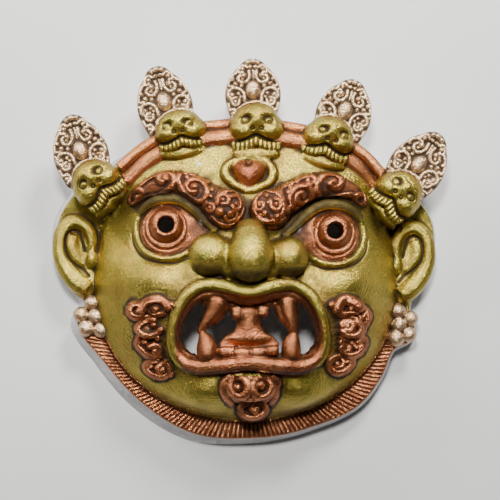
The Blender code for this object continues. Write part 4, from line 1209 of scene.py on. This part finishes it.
def carve_scrolls(surface, paint, stain_and_shade):
    """The carving of the brows, the locks beside the mouth and the tuft of the chin."""
    u, v = surface.u, surface.v
    front = (surface.normal[:, 2] > 0.15) & (surface.height > RIM_LOW)
    for row in pupils():
        front &= np.hypot(u - row[0], v - row[1]) >= EYE_REACH
    front &= np.hypot(u - DROP_MIDDLE[0], v - DROP_MIDDLE[1]) >= DROP_REACH
    for ridges, balls, (west, east, south, north), lift, bed in SCROLL_JOBS:
        near = front & in_box(u, v, (west, south), (east, north))
        strokes = [with_radius(radius * STROKE_FULL, points) for radius, points in ridges]
        strokes += [[row] for row in balls]
        if bed:
            chosen = np.flatnonzero(near)
            beds = widened(strokes, BED_REACH)
            cover = smooth_step(ridge_height(u[chosen], v[chosen], beds), 0.3, 3)
            surface.lift(chosen, bed * cover)
            chosen = chosen[cover > 0.5]
            paint[chosen] = PAINTS.index("copper")
        else:
            chosen = np.flatnonzero(near & marked(paint, "copper"))
        carve_strokes(surface, chosen, strokes, lift, stain_and_shade, SCROLL_STAIN)


def beard_strokes(sight, knots):
    """The ribs of the beard, fanned out from the chin between the jaw and the edge."""
    strokes = []
    overlap, margin = 2, 1
    for rib in range(RIB_COUNT):
        share = rib / (RIB_COUNT - 1)
        side = min(1, max(-1, (share - 0.5) * RIB_PARTING))
        angle = RIB_FROM + (RIB_TO - RIB_FROM) * share
        wide = rim_radius(knots, math.radians(angle - 360)) - FACE_SIDE
        lean = math.degrees(math.tan(math.radians(RIB_SLANT)) * wide / FACE_SIDE)
        rows = []
        for out in (0, 0.35, 0.7, 1):
            turn = math.radians(angle + lean * out * side)
            inner = 1 / ((abs(math.cos(turn)) / FACE_SIDE) ** FACE_SQUARE
                         + (abs(math.sin(turn)) / FACE_CHIN) ** FACE_SQUARE) ** (1 / FACE_SQUARE)
            wrapped = math.atan2(math.sin(turn), math.cos(turn))
            outer = rim_radius(knots, wrapped) - rim_slope(wrapped) * RIM_LOW - margin
            reach = inner - overlap + (outer - inner + overlap) * out
            across, along = reach * math.cos(turn), reach * math.sin(turn)
            point = sight.over(FACE_U + across, FACE_V + along, RIM_LOW)
            u, v = sight.drawn(np.array([point]))
            rows.append((u[0], v[0], RIB_RADIUS))
        strokes.append(rows)
    return strokes


def carve_beard(surface, paint, stain_and_shade, knots):
    """Fine ribs on the brim under the jaw; marks the brim as copper."""
    x = surface.co[:, 0] / surface.sight.unit + MIDDLE_U - FACE_U
    y = surface.co[:, 1] / surface.sight.unit + MIDDLE_V - FACE_V
    angle = np.arctan2(y, x)
    angles = np.linspace(-math.pi, math.pi, 721)
    edge = [rim_radius(knots, float(a)) - rim_slope(float(a)) * RIM_LOW for a in angles]
    edge = np.interp(angle, angles, edge)
    reach = np.hypot(x, y)
    out = np.abs(x / FACE_SIDE) ** FACE_SQUARE + np.abs(y / FACE_CHIN) ** FACE_SQUARE
    degrees = np.degrees(angle) % 360
    brim = (degrees > RIB_FROM - 3) & (degrees < RIB_TO + 3) & marked(paint, "gold")
    brim &= (out > BEARD_OUT) & (surface.height < RIM_LOW + 6)
    paint[brim] = PAINTS.index("copper")
    brim &= (reach < edge + 1) & (surface.normal[:, 2] > 0.3) & (surface.height > RIM_LOW - 6)
    ribs = beard_strokes(surface.sight, knots)
    carve_strokes(surface, np.flatnonzero(brim), ribs, RIB_LIFT, stain_and_shade, RIB_STAIN)


def press(surface, chosen, centre, half, turn, depth):
    """Pushes chosen places down in a soft oval; gives how far each lies in it, from 0 to 1."""
    du, dv = surface.u[chosen] - centre[0], surface.v[chosen] - centre[1]
    cosine, sine = math.cos(math.radians(turn)), math.sin(math.radians(turn))
    a, b = (du * cosine + dv * sine) / half[0], (dv * cosine - du * sine) / half[1]
    steepness = 2.0
    share = np.exp(-(a * a + b * b) ** steepness)
    surface.lift(chosen, -depth * share)
    return share


def groove(surface, chosen, strokes, depth, stain_and_shade, dark):
    """Cuts strokes into chosen places and stains them."""
    rise = ridge_height(surface.u[chosen], surface.v[chosen], strokes)
    surface.lift(chosen, -depth * rise)
    darken(stain_and_shade, chosen, dark * smooth_step(rise, 0.1, 0.9))


def carve_skulls(surface, paint, stain_and_shade):
    """Slanted sockets with a ball in each, nose holes, and dark lines round the teeth."""
    gold = marked(paint, "gold") & (surface.normal[:, 2] > 0.1)
    for skull in SKULLS:
        u, v, turn, wide, tall, look = skull
        far = np.hypot(surface.u - u, surface.v - v)
        chosen = np.flatnonzero(gold & (far < SKULL_REACH) & (surface.height > SKULL_HEIGHT - 9))
        for side in (-1, 1):
            centre = skull_place(skull, SOCKET[0] * side + look, SOCKET[1])
            half, slant = (SOCKET_HALF[0], SOCKET_HALF[1] * tall), turn - SOCKET_SLANT * side
            share = press(surface, chosen, centre, half, slant, SOCKET_DEPTH)
            darken(stain_and_shade, chosen, HOLE_STAIN * share ** 1.5)
            centre = skull_place(skull, SKULL_EYE[0] * side + look, SKULL_EYE[1])
            inner = press(surface, chosen, centre, SKULL_EYE_HALF, turn, -SKULL_EYE_RISE)
            stain_and_shade[chosen] *= 1 - EYE_CLEAN * inner
            centre = skull_place(skull, NOSTRIL[0] * side + look, NOSTRIL[1])
            share = press(surface, chosen, centre, NOSTRIL_HALF, turn, NOSTRIL_DEPTH)
            darken(stain_and_shade, chosen, HOLE_STAIN * share)
            inner = press(surface, chosen, centre, NOSTRIL_BALL_HALF, turn, -NOSTRIL_BALL_RISE)
            stain_and_shade[chosen] *= 1 - NOSTRIL_CLEAN * inner
        lip = with_radius(SKULL_LIP_RADIUS, [skull_place(skull, a, b) for a, b in SKULL_LIP])
        groove(surface, chosen, [lip], SKULL_LIP_DEPTH, stain_and_shade, 1)
        gaps = []
        for gap in range(SKULL_TEETH - 1):
            a, b = skull_tooth((2 * gap + 1) / (SKULL_TEETH - 1) - 1)
            upper = skull_place(skull, a, b + GAP_UP)
            lower = skull_place(skull, a * GAP_FAN, b - GAP_DOWN)
            gaps.append(with_radius(GAP_RADIUS, [upper, lower]))
        groove(surface, chosen, gaps, GAP_DEPTH, stain_and_shade, GAP_STAIN)
    beside = gold & (surface.u > CRACK_FROM) & (surface.height > SKULL_HEIGHT)
    crack = with_radius(CRACK_RADIUS, CRACK)
    groove(surface, np.flatnonzero(beside), [crack], CRACK_DEPTH, stain_and_shade, CRACK_STAIN)


def carve_third_eye(surface, stain_and_shade):
    """A small ringed ball at the top of the drop."""
    u, v, radius = BINDU
    near = np.hypot(surface.u - u, surface.v - v) < 2 * radius
    chosen = np.flatnonzero(near & (surface.normal[:, 2] > 0))
    share = press(surface, chosen, (u, v), (radius, radius * 0.8), 0, RING_DEPTH)
    darken(stain_and_shade, chosen, share ** 2)
    inner = press(surface, chosen, (u, v + 0.8), (radius * 0.6, radius * 0.5), 0, -BINDU_RISE)
    stain_and_shade[chosen] *= 1 - inner


def carve_lids(surface, paint, stain_and_shade):
    """A dark crease under each eye."""
    gold = np.flatnonzero(marked(paint, "gold") & (surface.normal[:, 2] > 0.2))
    creases = both_sides(LID_CREASE, EYE_MIDDLE, EYE_DROP)
    groove(surface, gold, creases, CREASE_DEPTH, stain_and_shade, CREASE_STAIN)


def oval_reach(surface, row):
    """How far places lie from an oval's middle, as a share of its half width and length."""
    u, v, wide, long = row
    return np.hypot((surface.u - u) / wide, (surface.v - v) / long)


def stain_creases_and_paint_shade(surface, stain_and_shade):
    """Dark stain between the brows and in the eyes' corners; painted shadow of the brows over the
    lids, and painted shade under nose and lip.
    """
    upward = surface.normal[:, 2] > 0
    crease = oval_reach(surface, BROW_CREASE)
    chosen = np.flatnonzero((crease < 1.3) & upward)
    darken(stain_and_shade, chosen, BROW_STAIN * (1 - smooth_step(crease[chosen], 0.5, 1.3)))
    # painted shadow of the brows on the upper side of each upper lid
    for lid in both_sides(LID_UPPER, EYE_MIDDLE, EYE_DROP):
        upper = [(u, v + LID_UP, radius + LID_WIDER) for u, v, radius in lid]
        near = ridge_height(surface.u, surface.v, [upper])
        chosen = np.flatnonzero((near > 0) & upward)
        darken(stain_and_shade, chosen, LID_SHADOW * smooth_step(near[chosen], 0, 3))
    for row in EYE_CORNERS:
        corner = oval_reach(surface, row)
        chosen = np.flatnonzero((corner < 1) & (surface.height < CORNER_TOP))
        darken(stain_and_shade, chosen, CORNER_STAIN * (1 - smooth_step(corner[chosen], 0.5, 1)))
    # painted shade on the undersides of the nose and lower lip, darker the more they face down
    for row in UNDERSIDES:
        chosen = np.flatnonzero((oval_reach(surface, row) < 1) & (surface.height > UNDER_HEIGHT))
        darken(stain_and_shade, chosen, UNDER_SHADE * smooth_step(-surface.normal[chosen, 1], 0.15, 0.65))


def carve_ears(surface, paint, stain_and_shade):
    """A dark groove round the inner fold of each ear."""
    radius, margin = 1.7, 3
    front = (surface.normal[:, 2] > 0) & marked(paint, "gold") & (surface.height < EAR_TOP)
    for rows in both_sides(EAR_GROOVE, EAR_MIDDLE, EAR_DROP):
        low, high = np.array(rows).min(0) - margin, np.array(rows).max(0) + margin
        chosen = np.flatnonzero(front & in_box(surface.u, surface.v, low, high))
        stroke = with_radius(radius, rows)
        rise = ridge_height(surface.u[chosen], surface.v[chosen], [stroke])
        surface.lift(chosen, -rise)
        darken(stain_and_shade, chosen, smooth_step(rise, 0.2, 1.2))


def paint_zones(surface, paint, lips, face):
    """The shares of copper, pale and orange paint and of bare resin, one in each channel."""
    count = len(surface.co)
    copper = marked(paint, "copper").astype(float)
    copper = np.where(face & (lips > 0), 1, copper)
    west, east, south, north = LIP_GOLD
    beside = face & (lips > FAR_OUTSIDE) & (lips <= 0)
    beside &= in_box(surface.u, surface.v, (west, south), (east, north))
    copper = np.where(beside, 0, copper)
    lid = face & marked(paint, "gold") & (surface.height < EYE_COPPER_TOP)
    for outline in both_sides(EYE_FIELD, EYE_MIDDLE, EYE_DROP):
        field = depth_inside(outline, surface.u, surface.v)
        copper = np.where(lid & (field > 0), 1, copper)
    zones = np.zeros((count, 4), np.float32)
    zones[:, 0] = surface.eased(copper, 2)
    zones[:, 1] = surface.eased(marked(paint, "pale").astype(float), 2)
    zones[:, 2] = surface.eased(marked(paint, "orange").astype(float), 2)
    worn = np.zeros(count)
    for u, v, wide, long, share in WORN:
        far = ((surface.u - u) / wide) ** 2 + ((surface.v - v) / long) ** 2
        worn = np.maximum(worn, share * np.exp(-far * far))
    zones[:, 3] = np.maximum(surface.eased(marked(paint, "bare").astype(float), 3), worn)
    return zones


def wash_wear_and_shade(surface, paint, stain_and_shade, lips, face):
    """The shares of dark wash and painted shade, of rubbed edges and painted highlight, and of
    painted brown shade, one in each channel.
    """
    fine_rounds, broad_rounds, wide_rounds = 3, 16, 70
    fine = surface.hollowness(fine_rounds)
    broad = surface.hollowness(broad_rounds)
    wide = surface.hollowness(wide_rounds)
    # dark wash in fine creases; in broad hollows the darkening is also painted shade
    wash_and_shade = np.clip(fine * 5, 0, 1) * 0.6 + smooth_step(broad, 0.12, 0.7)
    # lighter raised edges: rubbed paint and painted highlight
    rub_and_highlight = np.clip(-fine * 7, 0, 1) * 0.6 + smooth_step(-broad, 0.1, 0.8) * 0.5
    age = np.zeros((len(surface.co), 4), np.float32)
    age[:, 0] = np.clip(np.maximum(wash_and_shade, surface.eased(stain_and_shade, 1)), 0, 1)
    age[:, 1] = np.clip(rub_and_highlight, 0, 1)
    # painted brown shade on steep flanks and in wide hollows
    flank = smooth_step(1 - surface.eased(surface.normal[:, 2], 6), 0.2, 0.75)
    age[:, 2] = np.maximum(smooth_step(wide, 0.0, 1.3), FLANK_SHADE * flank)
    # painted shade beside the mouth and inside it
    beside = ridge_height(surface.u, surface.v, both_sides(LIP_SHADE, MOUTH_MIDDLE, 0))
    beside = smooth_step(beside * marked(paint, "gold"), 0, 7)
    age[:, 2] = np.maximum(age[:, 2], BESIDE_SHADE * beside * face)
    age[:, 2] = np.maximum(age[:, 2], MOUTH_SHADE * smooth_step(lips, 5, 11) * face)
    age[:, 3] = 1
    return age


def keep_colours(mesh, name, colours):
    """Stores a colour for each vertex."""
    layer = mesh.attributes.new(name, 'FLOAT_COLOR', 'POINT')
    layer.data.foreach_set("color", np.ascontiguousarray(colours, np.float32).ravel())


def cut_flat(mesh):
    """Cuts a mesh flat at the floor, closes the cut, and keeps its sides within the frame's."""
    body = bmesh.new()
    body.from_mesh(mesh)
    geometry = body.verts[:] + body.edges[:] + body.faces[:]
    bmesh.ops.bisect_plane(body, geom=geometry, dist=1e-7, plane_co=(0, 0, 0), plane_no=(0, 0, 1),
                           clear_inner=True)
    rim = [edge for edge in body.edges if edge.is_boundary]
    bmesh.ops.triangle_fill(body, edges=rim, use_beauty=True, normal=(0, 0, -1))
    for vert in body.verts:
        vert.co.x = min(max(vert.co.x, CAD_BOX[0][0]), CAD_BOX[1][0])
        vert.co.y = min(max(vert.co.y, CAD_BOX[0][1]), CAD_BOX[1][1])
    body.to_mesh(mesh)
    body.free()


def cast_mesh(sight, sizes):
    """The mask's mesh: forms fused into one skin, carved, painted and thinned."""
    forms = model_clay(sight, sizes)
    grain = sizes.grain
    item = bpy.data.objects.new("fused", forms.copy())
    fuse = item.modifiers.new("fuse", 'REMESH')
    fuse.mode = 'VOXEL'
    fuse.voxel_size = grain
    surface = Surface(evaluated_mesh(item), sight)
    for axis in range(3):
        surface.co[:, axis] = surface.eased(surface.co[:, axis], 2)
    surface.read()
    paint = near_paints(surface, forms)
    soft = paint >= PAINTS.index("nose")
    surface.soften(surface.eased(soft.astype(float), 4), sizes.nose_rounds)
    paint[marked(paint, "nose")] = PAINTS.index("gold")
    paint[marked(paint, "tongue")] = PAINTS.index("copper")
    surface.read()
    # dark stain in the carving, with painted shade under the nose and lip and over the lids
    stain_and_shade = np.zeros(len(paint))
    carve_leaves(surface, paint, stain_and_shade)
    carve_scrolls(surface, paint, stain_and_shade)
    carve_beard(surface, paint, stain_and_shade, rim_knots(sight))
    carve_skulls(surface, paint, stain_and_shade)
    carve_third_eye(surface, stain_and_shade)
    carve_ears(surface, paint, stain_and_shade)
    carve_lids(surface, paint, stain_and_shade)
    surface.read()
    stain_creases_and_paint_shade(surface, stain_and_shade)
    lips = depth_inside(LIP_LINE, surface.u, surface.v)
    face = (surface.normal[:, 2] > -0.2) & (surface.height > PAINTED_ABOVE)
    keep_colours(surface.mesh, "paint", paint_zones(surface, paint, lips, face))
    keep_colours(surface.mesh, "age", wash_wear_and_shade(surface, paint, stain_and_shade, lips, face))
    item = bpy.data.objects.new("thinned", surface.mesh)
    triangles = sum(len(face.vertices) - 2 for face in surface.mesh.polygons)
    thin = item.modifiers.new("thin", 'DECIMATE')
    thin.ratio = sizes.triangles / triangles
    mesh = evaluated_mesh(item)
    cut_flat(mesh)
    return mesh


class Nodes:
    """Short ways to add and join a material's nodes."""

    def __init__(self, name):
        self.material = bpy.data.materials.new(name)
        self.material.use_nodes = True
        self.tree = self.material.node_tree
        self.shader = self.tree.nodes["Principled BSDF"]

    def add(self, kind, values=(), **settings):
        """A node of a kind, its settings, and its inputs by name: a socket or a value."""
        node = self.tree.nodes.new(kind)
        for name, value in settings.items():
            setattr(node, name, value)
        for name, value in dict(values).items():
            if isinstance(value, bpy.types.NodeSocket):
                self.tree.links.new(value, node.inputs[name])
            else:
                node.inputs[name].default_value = value
        return node

    def maths(self, operation, *values):
        """The outcome of one sum."""
        return self.add("ShaderNodeMath", enumerate(values), operation=operation).outputs[0]

    def ramp(self, value, low, high):
        """Rises from 0 to 1 between two values, without corners."""
        node = self.add("ShaderNodeMapRange", {"Value": value, "From Min": low, "From Max": high},
                        interpolation_type='SMOOTHSTEP')
        return node.outputs["Result"]

    def mix(self, share, first, second, blend='MIX'):
        """One colour laid over another by a share."""
        node = self.add("ShaderNodeMix", data_type='RGBA', blend_type=blend)
        # Among the node's sockets of all types, 6 and 7 are the two colours
        for socket, value in ((node.inputs[0], share), (node.inputs[6], first),
                              (node.inputs[7], second)):
            if isinstance(value, bpy.types.NodeSocket):
                self.tree.links.new(value, socket)
            else:
                socket.default_value = value
        return node.outputs[2]

    def noise(self, place, scale, detail=3, roughness=0.5):
        """A cloudy pattern over the object."""
        node = self.add("ShaderNodeTexNoise", {"Vector": place, "Scale": scale, "Detail": detail,
                                               "Roughness": roughness})
        return node.outputs["Fac"]


def clean_paints(nodes, colours, zones, cloud, patch):
    """The four paints, each mottled, and laid in their zones."""
    gold = nodes.mix(nodes.ramp(cloud, 0.4, 0.62), (*colours.gold, 1), (*colours.gold_warm, 1))
    gold = nodes.mix(nodes.ramp(patch, 0.42, 0.7), gold, (*colours.gold_green, 1))
    spots = nodes.ramp(patch, 0.4, 0.65)
    copper = nodes.mix(spots, (*colours.copper, 1), (*colours.copper_deep, 1))
    orange = nodes.mix(spots, (*colours.orange, 1), (*colours.copper, 1))
    pale = nodes.mix(nodes.ramp(patch, 0.5, 0.8), (*colours.pale, 1), (*colours.copper, 1))
    colour = gold
    for channel, paint in (("Red", copper), ("Green", pale), ("Blue", orange)):
        colour = nodes.mix(nodes.ramp(zones.outputs[channel], 0.35, 0.65), colour, paint)
    return colour


def paint_finish(colours, paint_end):
    """Antique gold and copper paint over white resin, bare below a height, with a dark wash and
    painted shade, and raised edges lighter with rubbing and painted highlight.
    """
    wash_and_shade_cover, painted_shade_cover, metal_cover = 0.93, 0.85, 0.9
    painted_rough, mottled_rough, wash_and_shade_rough, resin_rough = 0.17, 0.16, 0.25, 0.62
    ragged_edge, soft_edge = 0.0012, 0.0004
    grain_height, grain_strength = 0.0012, 0.8
    nodes = Nodes("antique_paint")
    place = nodes.add("ShaderNodeTexCoord").outputs["Object"]
    paint = nodes.add("ShaderNodeAttribute", attribute_name="paint")
    zones = nodes.add("ShaderNodeSeparateColor", {"Color": paint.outputs["Color"]})
    age = nodes.add("ShaderNodeAttribute", attribute_name="age")
    wash_wear_shade_parts = nodes.add("ShaderNodeSeparateColor", {"Color": age.outputs["Color"]})
    cloud = nodes.noise(place, 38, 4, 0.6)
    patch = nodes.noise(place, 150, 5, 0.65)
    grit = nodes.noise(place, 900, 3, 0.6)

    colour = clean_paints(nodes, colours, zones, cloud, patch)
    # raised edges lighter: rubbed paint and painted highlight
    rub_and_highlight = nodes.maths('MULTIPLY', wash_wear_shade_parts.outputs["Green"], nodes.ramp(grit, 0.3, 0.6))
    colour = nodes.mix(nodes.maths('MULTIPLY', rub_and_highlight, 0.5), colour, colour, 'SCREEN')
    # painted brown shade on flanks, in wide hollows and round the mouth
    painted_shade = nodes.maths('MULTIPLY', wash_wear_shade_parts.outputs["Blue"], nodes.ramp(cloud, 0.2, 0.6))
    colour = nodes.mix(nodes.maths('MULTIPLY', painted_shade, painted_shade_cover), colour, (*colours.painted_shade, 1))
    # dark wash in the creases, with painted shade under the nose and lip and over the lids
    uneven = nodes.maths('SUBTRACT', patch, 0.5)
    ragged = nodes.maths('MULTIPLY_ADD', uneven, 0.5, wash_wear_shade_parts.outputs["Red"])
    washed_and_shaded = nodes.ramp(ragged, 0.15, 0.85)
    colour = nodes.mix(nodes.maths('MULTIPLY', washed_and_shaded, wash_and_shade_cover), colour, (*colours.wash_and_shade, 1))
    edge = nodes.maths('MULTIPLY_ADD', uneven, 0.4, paint.outputs["Alpha"])
    height = nodes.add("ShaderNodeSeparateXYZ", {"Vector": place}).outputs["Z"]
    end = nodes.maths('MULTIPLY_ADD', patch, ragged_edge, paint_end)
    below = nodes.ramp(nodes.maths('SUBTRACT', end, height), 0, soft_edge)
    bare = nodes.maths('MAXIMUM', nodes.ramp(edge, 0.4, 0.6), below)
    resin = nodes.mix(nodes.ramp(cloud, 0.35, 0.65), (*colours.resin, 1), (*colours.resin_dull, 1))
    colour = nodes.mix(bare, colour, resin)

    painted = nodes.maths('SUBTRACT', 1, bare)
    # less metallic where washed and shaded
    unwashed_unshaded = nodes.maths('SUBTRACT', 1, nodes.maths('MULTIPLY', washed_and_shaded, 0.8))
    metal = nodes.maths('MULTIPLY', nodes.maths('MULTIPLY', painted, unwashed_unshaded), metal_cover)
    rough = nodes.maths('MULTIPLY_ADD', patch, mottled_rough, painted_rough)
    rough = nodes.maths('MULTIPLY_ADD', washed_and_shaded, wash_and_shade_rough, rough)
    rough = nodes.maths('MAXIMUM', rough, nodes.maths('MULTIPLY', bare, resin_rough))
    brushed = nodes.maths('MULTIPLY_ADD', grit, 0.6, nodes.maths('MULTIPLY', patch, 0.7))
    bump = nodes.add("ShaderNodeBump", {"Height": brushed, "Strength": grain_strength,
                                        "Distance": grain_height})
    nodes.shader.inputs["Specular IOR Level"].default_value = 0.2
    links = nodes.tree.links
    links.new(colour, nodes.shader.inputs["Base Color"])
    links.new(metal, nodes.shader.inputs["Metallic"])
    links.new(rough, nodes.shader.inputs["Roughness"])
    links.new(bump.outputs["Normal"], nodes.shader.inputs["Normal"])
    return nodes.material


def colour_property(name, description, value):
    """A colour that the user may change."""
    return FloatVectorProperty(name=name, description=description, default=value, size=3,
                               min=0, max=1, subtype='COLOR')


class MaskSizes(bpy.types.PropertyGroup):
    """Driving sizes of the casting."""

    width: FloatProperty(name="Width", description="Across the two outer leaves",
                         default=0.241, unit='LENGTH')
    depth: FloatProperty(name="Depth", description="From the back rim to the tip of the nose",
                         default=0.080, unit='LENGTH')
    wall: FloatProperty(name="Wall", description="Thickness of the cast shell",
                        default=0.006, unit='LENGTH')
    leaf_thickness: FloatProperty(name="Leaf", description="Thickness of the free plates",
                                  default=0.0055, unit='LENGTH')
    pupil_bore: FloatProperty(name="Pupil", description="Width of the hole through each eye",
                              default=0.0092, unit='LENGTH')
    grain: FloatProperty(name="Grain", description="Finest form that the casting keeps",
                         default=0.00045, precision=5, unit='LENGTH')
    quick_grain: FloatProperty(name="Quick grain", description="Grain of a trial casting",
                               default=0.0006, precision=5, unit='LENGTH')
    nose_rounds: IntProperty(name="Nose softness", description="How far the nose's forms melt",
                             default=30)
    triangles: IntProperty(name="Triangles", description="Fineness of the finished mesh",
                           default=188000)


class MaskColours(bpy.types.PropertyGroup):
    """Paints of the mask."""

    gold: colour_property("Gold", "Main gold of the face", (0.45, 0.335, 0.056))
    gold_warm: colour_property("Warm gold", "Browner gold in clouds", (0.37, 0.235, 0.04))
    gold_green: colour_property("Green gold", "Greener gold in patches", (0.33, 0.295, 0.046))
    copper: colour_property("Copper", "Brows, mouth, eyes and beard", (0.46, 0.16, 0.064))
    copper_deep: colour_property("Deep copper", "Darker copper in patches", (0.27, 0.08, 0.033))
    pale: colour_property("Pale copper", "Leaves and beads", (0.66, 0.445, 0.255))
    orange: colour_property("Orange copper", "The band of the crown", (0.52, 0.215, 0.072))
    # dark wash, also used for painted shade under the nose and lip and over the lids
    wash_and_shade: colour_property("Wash_and_shade", "Dark stain in the recesses", (0.022, 0.011, 0.006))
    # painted brown shade on flanks, in wide hollows and round the mouth
    painted_shade: colour_property("Shade", "Brown shade in wide hollows", (0.09, 0.042, 0.016))
    resin: colour_property("Resin", "Bare side and back", (0.76, 0.74, 0.73))
    resin_dull: colour_property("Dull resin", "Greyer clouds of the bare resin", (0.62, 0.60, 0.60))


class StageSettings(bpy.types.PropertyGroup):
    """The studio round the mask."""

    floor: colour_property("Floor", "Colour of the floor", (0.74, 0.73, 0.71))
    key: FloatProperty(name="Key light", description="Strength of the light beyond the crown",
                       default=9, unit='POWER')
    top: FloatProperty(name="Top light", description="Strength of the light overhead",
                       default=11, unit='POWER')
    fill: FloatProperty(name="Fill light", description="Strength of the light from the left",
                        default=5.5, unit='POWER')
    sky: FloatProperty(name="Sky", description="Strength of the light all round", default=0.06)


def add_floor(scene, shade):
    """A wide floor, plain but for faint clouds."""
    body = bmesh.new()
    bmesh.ops.create_grid(body, x_segments=1, y_segments=1, size=FLOOR_HALF)
    mesh = bpy.data.meshes.new("floor")
    body.to_mesh(mesh)
    body.free()
    nodes = Nodes("pale_floor")
    place = nodes.add("ShaderNodeTexCoord").outputs["Object"]
    cloud = nodes.ramp(nodes.noise(place, FLOOR_CLOUD), 0.3, 0.7)
    dull = [value * FLOOR_DULL for value in shade]
    colour = nodes.mix(cloud, (*shade, 1), (*dull, 1))
    nodes.tree.links.new(colour, nodes.shader.inputs["Base Color"])
    nodes.shader.inputs["Roughness"].default_value = FLOOR_ROUGH
    mesh.materials.append(nodes.material)
    floor = bpy.data.objects.new("floor", mesh)
    scene.collection.objects.link(floor)


def add_lights(scene, stage):
    """Three square lights, and a faint light all round."""
    for name, spot, size in LIGHTS:
        light = bpy.data.lights.new(name, 'AREA')
        light.energy = getattr(stage, name)
        light.size = size
        lamp = bpy.data.objects.new(name, light)
        lamp.location = spot
        away = Vector(LIGHT_AIM) - Vector(spot)
        lamp.rotation_euler = away.to_track_quat('-Z', 'Y').to_euler()
        scene.collection.objects.link(lamp)
    world = bpy.data.worlds.new("studio")
    world.use_nodes = True
    background = world.node_tree.nodes["Background"]
    background.inputs["Color"].default_value = SKY_COLOUR
    background.inputs["Strength"].default_value = stage.sky
    scene.world = world


def add_camera(scene, sight):
    """The camera at the drawing's eye, as wide as the drawing."""
    lens = bpy.data.cameras.new("camera")
    lens.sensor_width = FILM_WIDTH
    lens.lens = lens.sensor_width * sight.reach / (FRAME_UNITS * sight.unit)
    camera = bpy.data.objects.new("camera", lens)
    camera.location = sight.eye
    axes = Matrix((sight.right, sight.up, -sight.ahead)).transposed()
    camera.rotation_euler = axes.to_euler()
    scene.collection.objects.link(camera)
    scene.camera = camera


class MASK_OT_cast(bpy.types.Operator):
    """Model, carve and paint the mask"""

    bl_idname = "mask.cast"
    bl_label = "Cast Mask"

    def execute(self, context):
        scene = context.scene
        sight = Sight(scene.mask_sizes)
        mesh = cast_mesh(sight, scene.mask_sizes)
        mesh.materials.clear()
        mesh.materials.append(paint_finish(scene.mask_colours, PAINT_END * sight.rise))
        mesh.shade_smooth()
        mask = bpy.data.objects.new("mask_cast", mesh)
        scene.collection.objects.link(mask)
        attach(mask, "root")
        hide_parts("mask")
        return {'FINISHED'}


class MASK_OT_stage(bpy.types.Operator):
    """Set up the floor, the lights and the camera"""

    bl_idname = "mask.stage"
    bl_label = "Set Up Studio"

    def execute(self, context):
        scene = context.scene
        add_floor(scene, scene.mask_stage.floor)
        add_lights(scene, scene.mask_stage)
        add_camera(scene, Sight(scene.mask_sizes))
        return {'FINISHED'}


class VIEW3D_PT_wall_mask(bpy.types.Panel):
    """Sizes, paints and studio of the wall mask"""

    bl_label = "Wall Mask"
    bl_idname = "VIEW3D_PT_wall_mask"
    bl_space_type = 'VIEW_3D'
    bl_region_type = 'UI'
    bl_category = "Mask"

    def draw(self, context):
        layout = self.layout
        layout.operator("mask.cast")
        layout.operator("mask.stage")
        for group in (context.scene.mask_sizes, context.scene.mask_colours,
                      context.scene.mask_stage):
            column = layout.column(align=True)
            for name in group.__annotations__:
                column.prop(group, name)


CLASSES = (MaskSizes, MaskColours, StageSettings, MASK_OT_cast, MASK_OT_stage, VIEW3D_PT_wall_mask)


def register():
    """Adds the classes and the scene's settings."""
    for item in CLASSES:
        bpy.utils.register_class(item)
    bpy.types.Scene.mask_sizes = PointerProperty(type=MaskSizes)
    bpy.types.Scene.mask_colours = PointerProperty(type=MaskColours)
    bpy.types.Scene.mask_stage = PointerProperty(type=StageSettings)


def unregister():
    """Takes the classes and the scene's settings away."""
    del bpy.types.Scene.mask_stage
    del bpy.types.Scene.mask_colours
    del bpy.types.Scene.mask_sizes
    for item in reversed(CLASSES):
        bpy.utils.unregister_class(item)


def main():
    """Builds the mask and its studio."""
    register()
    bpy.ops.mask.cast()
    bpy.ops.mask.stage()


if __name__ == "__main__":
    main()
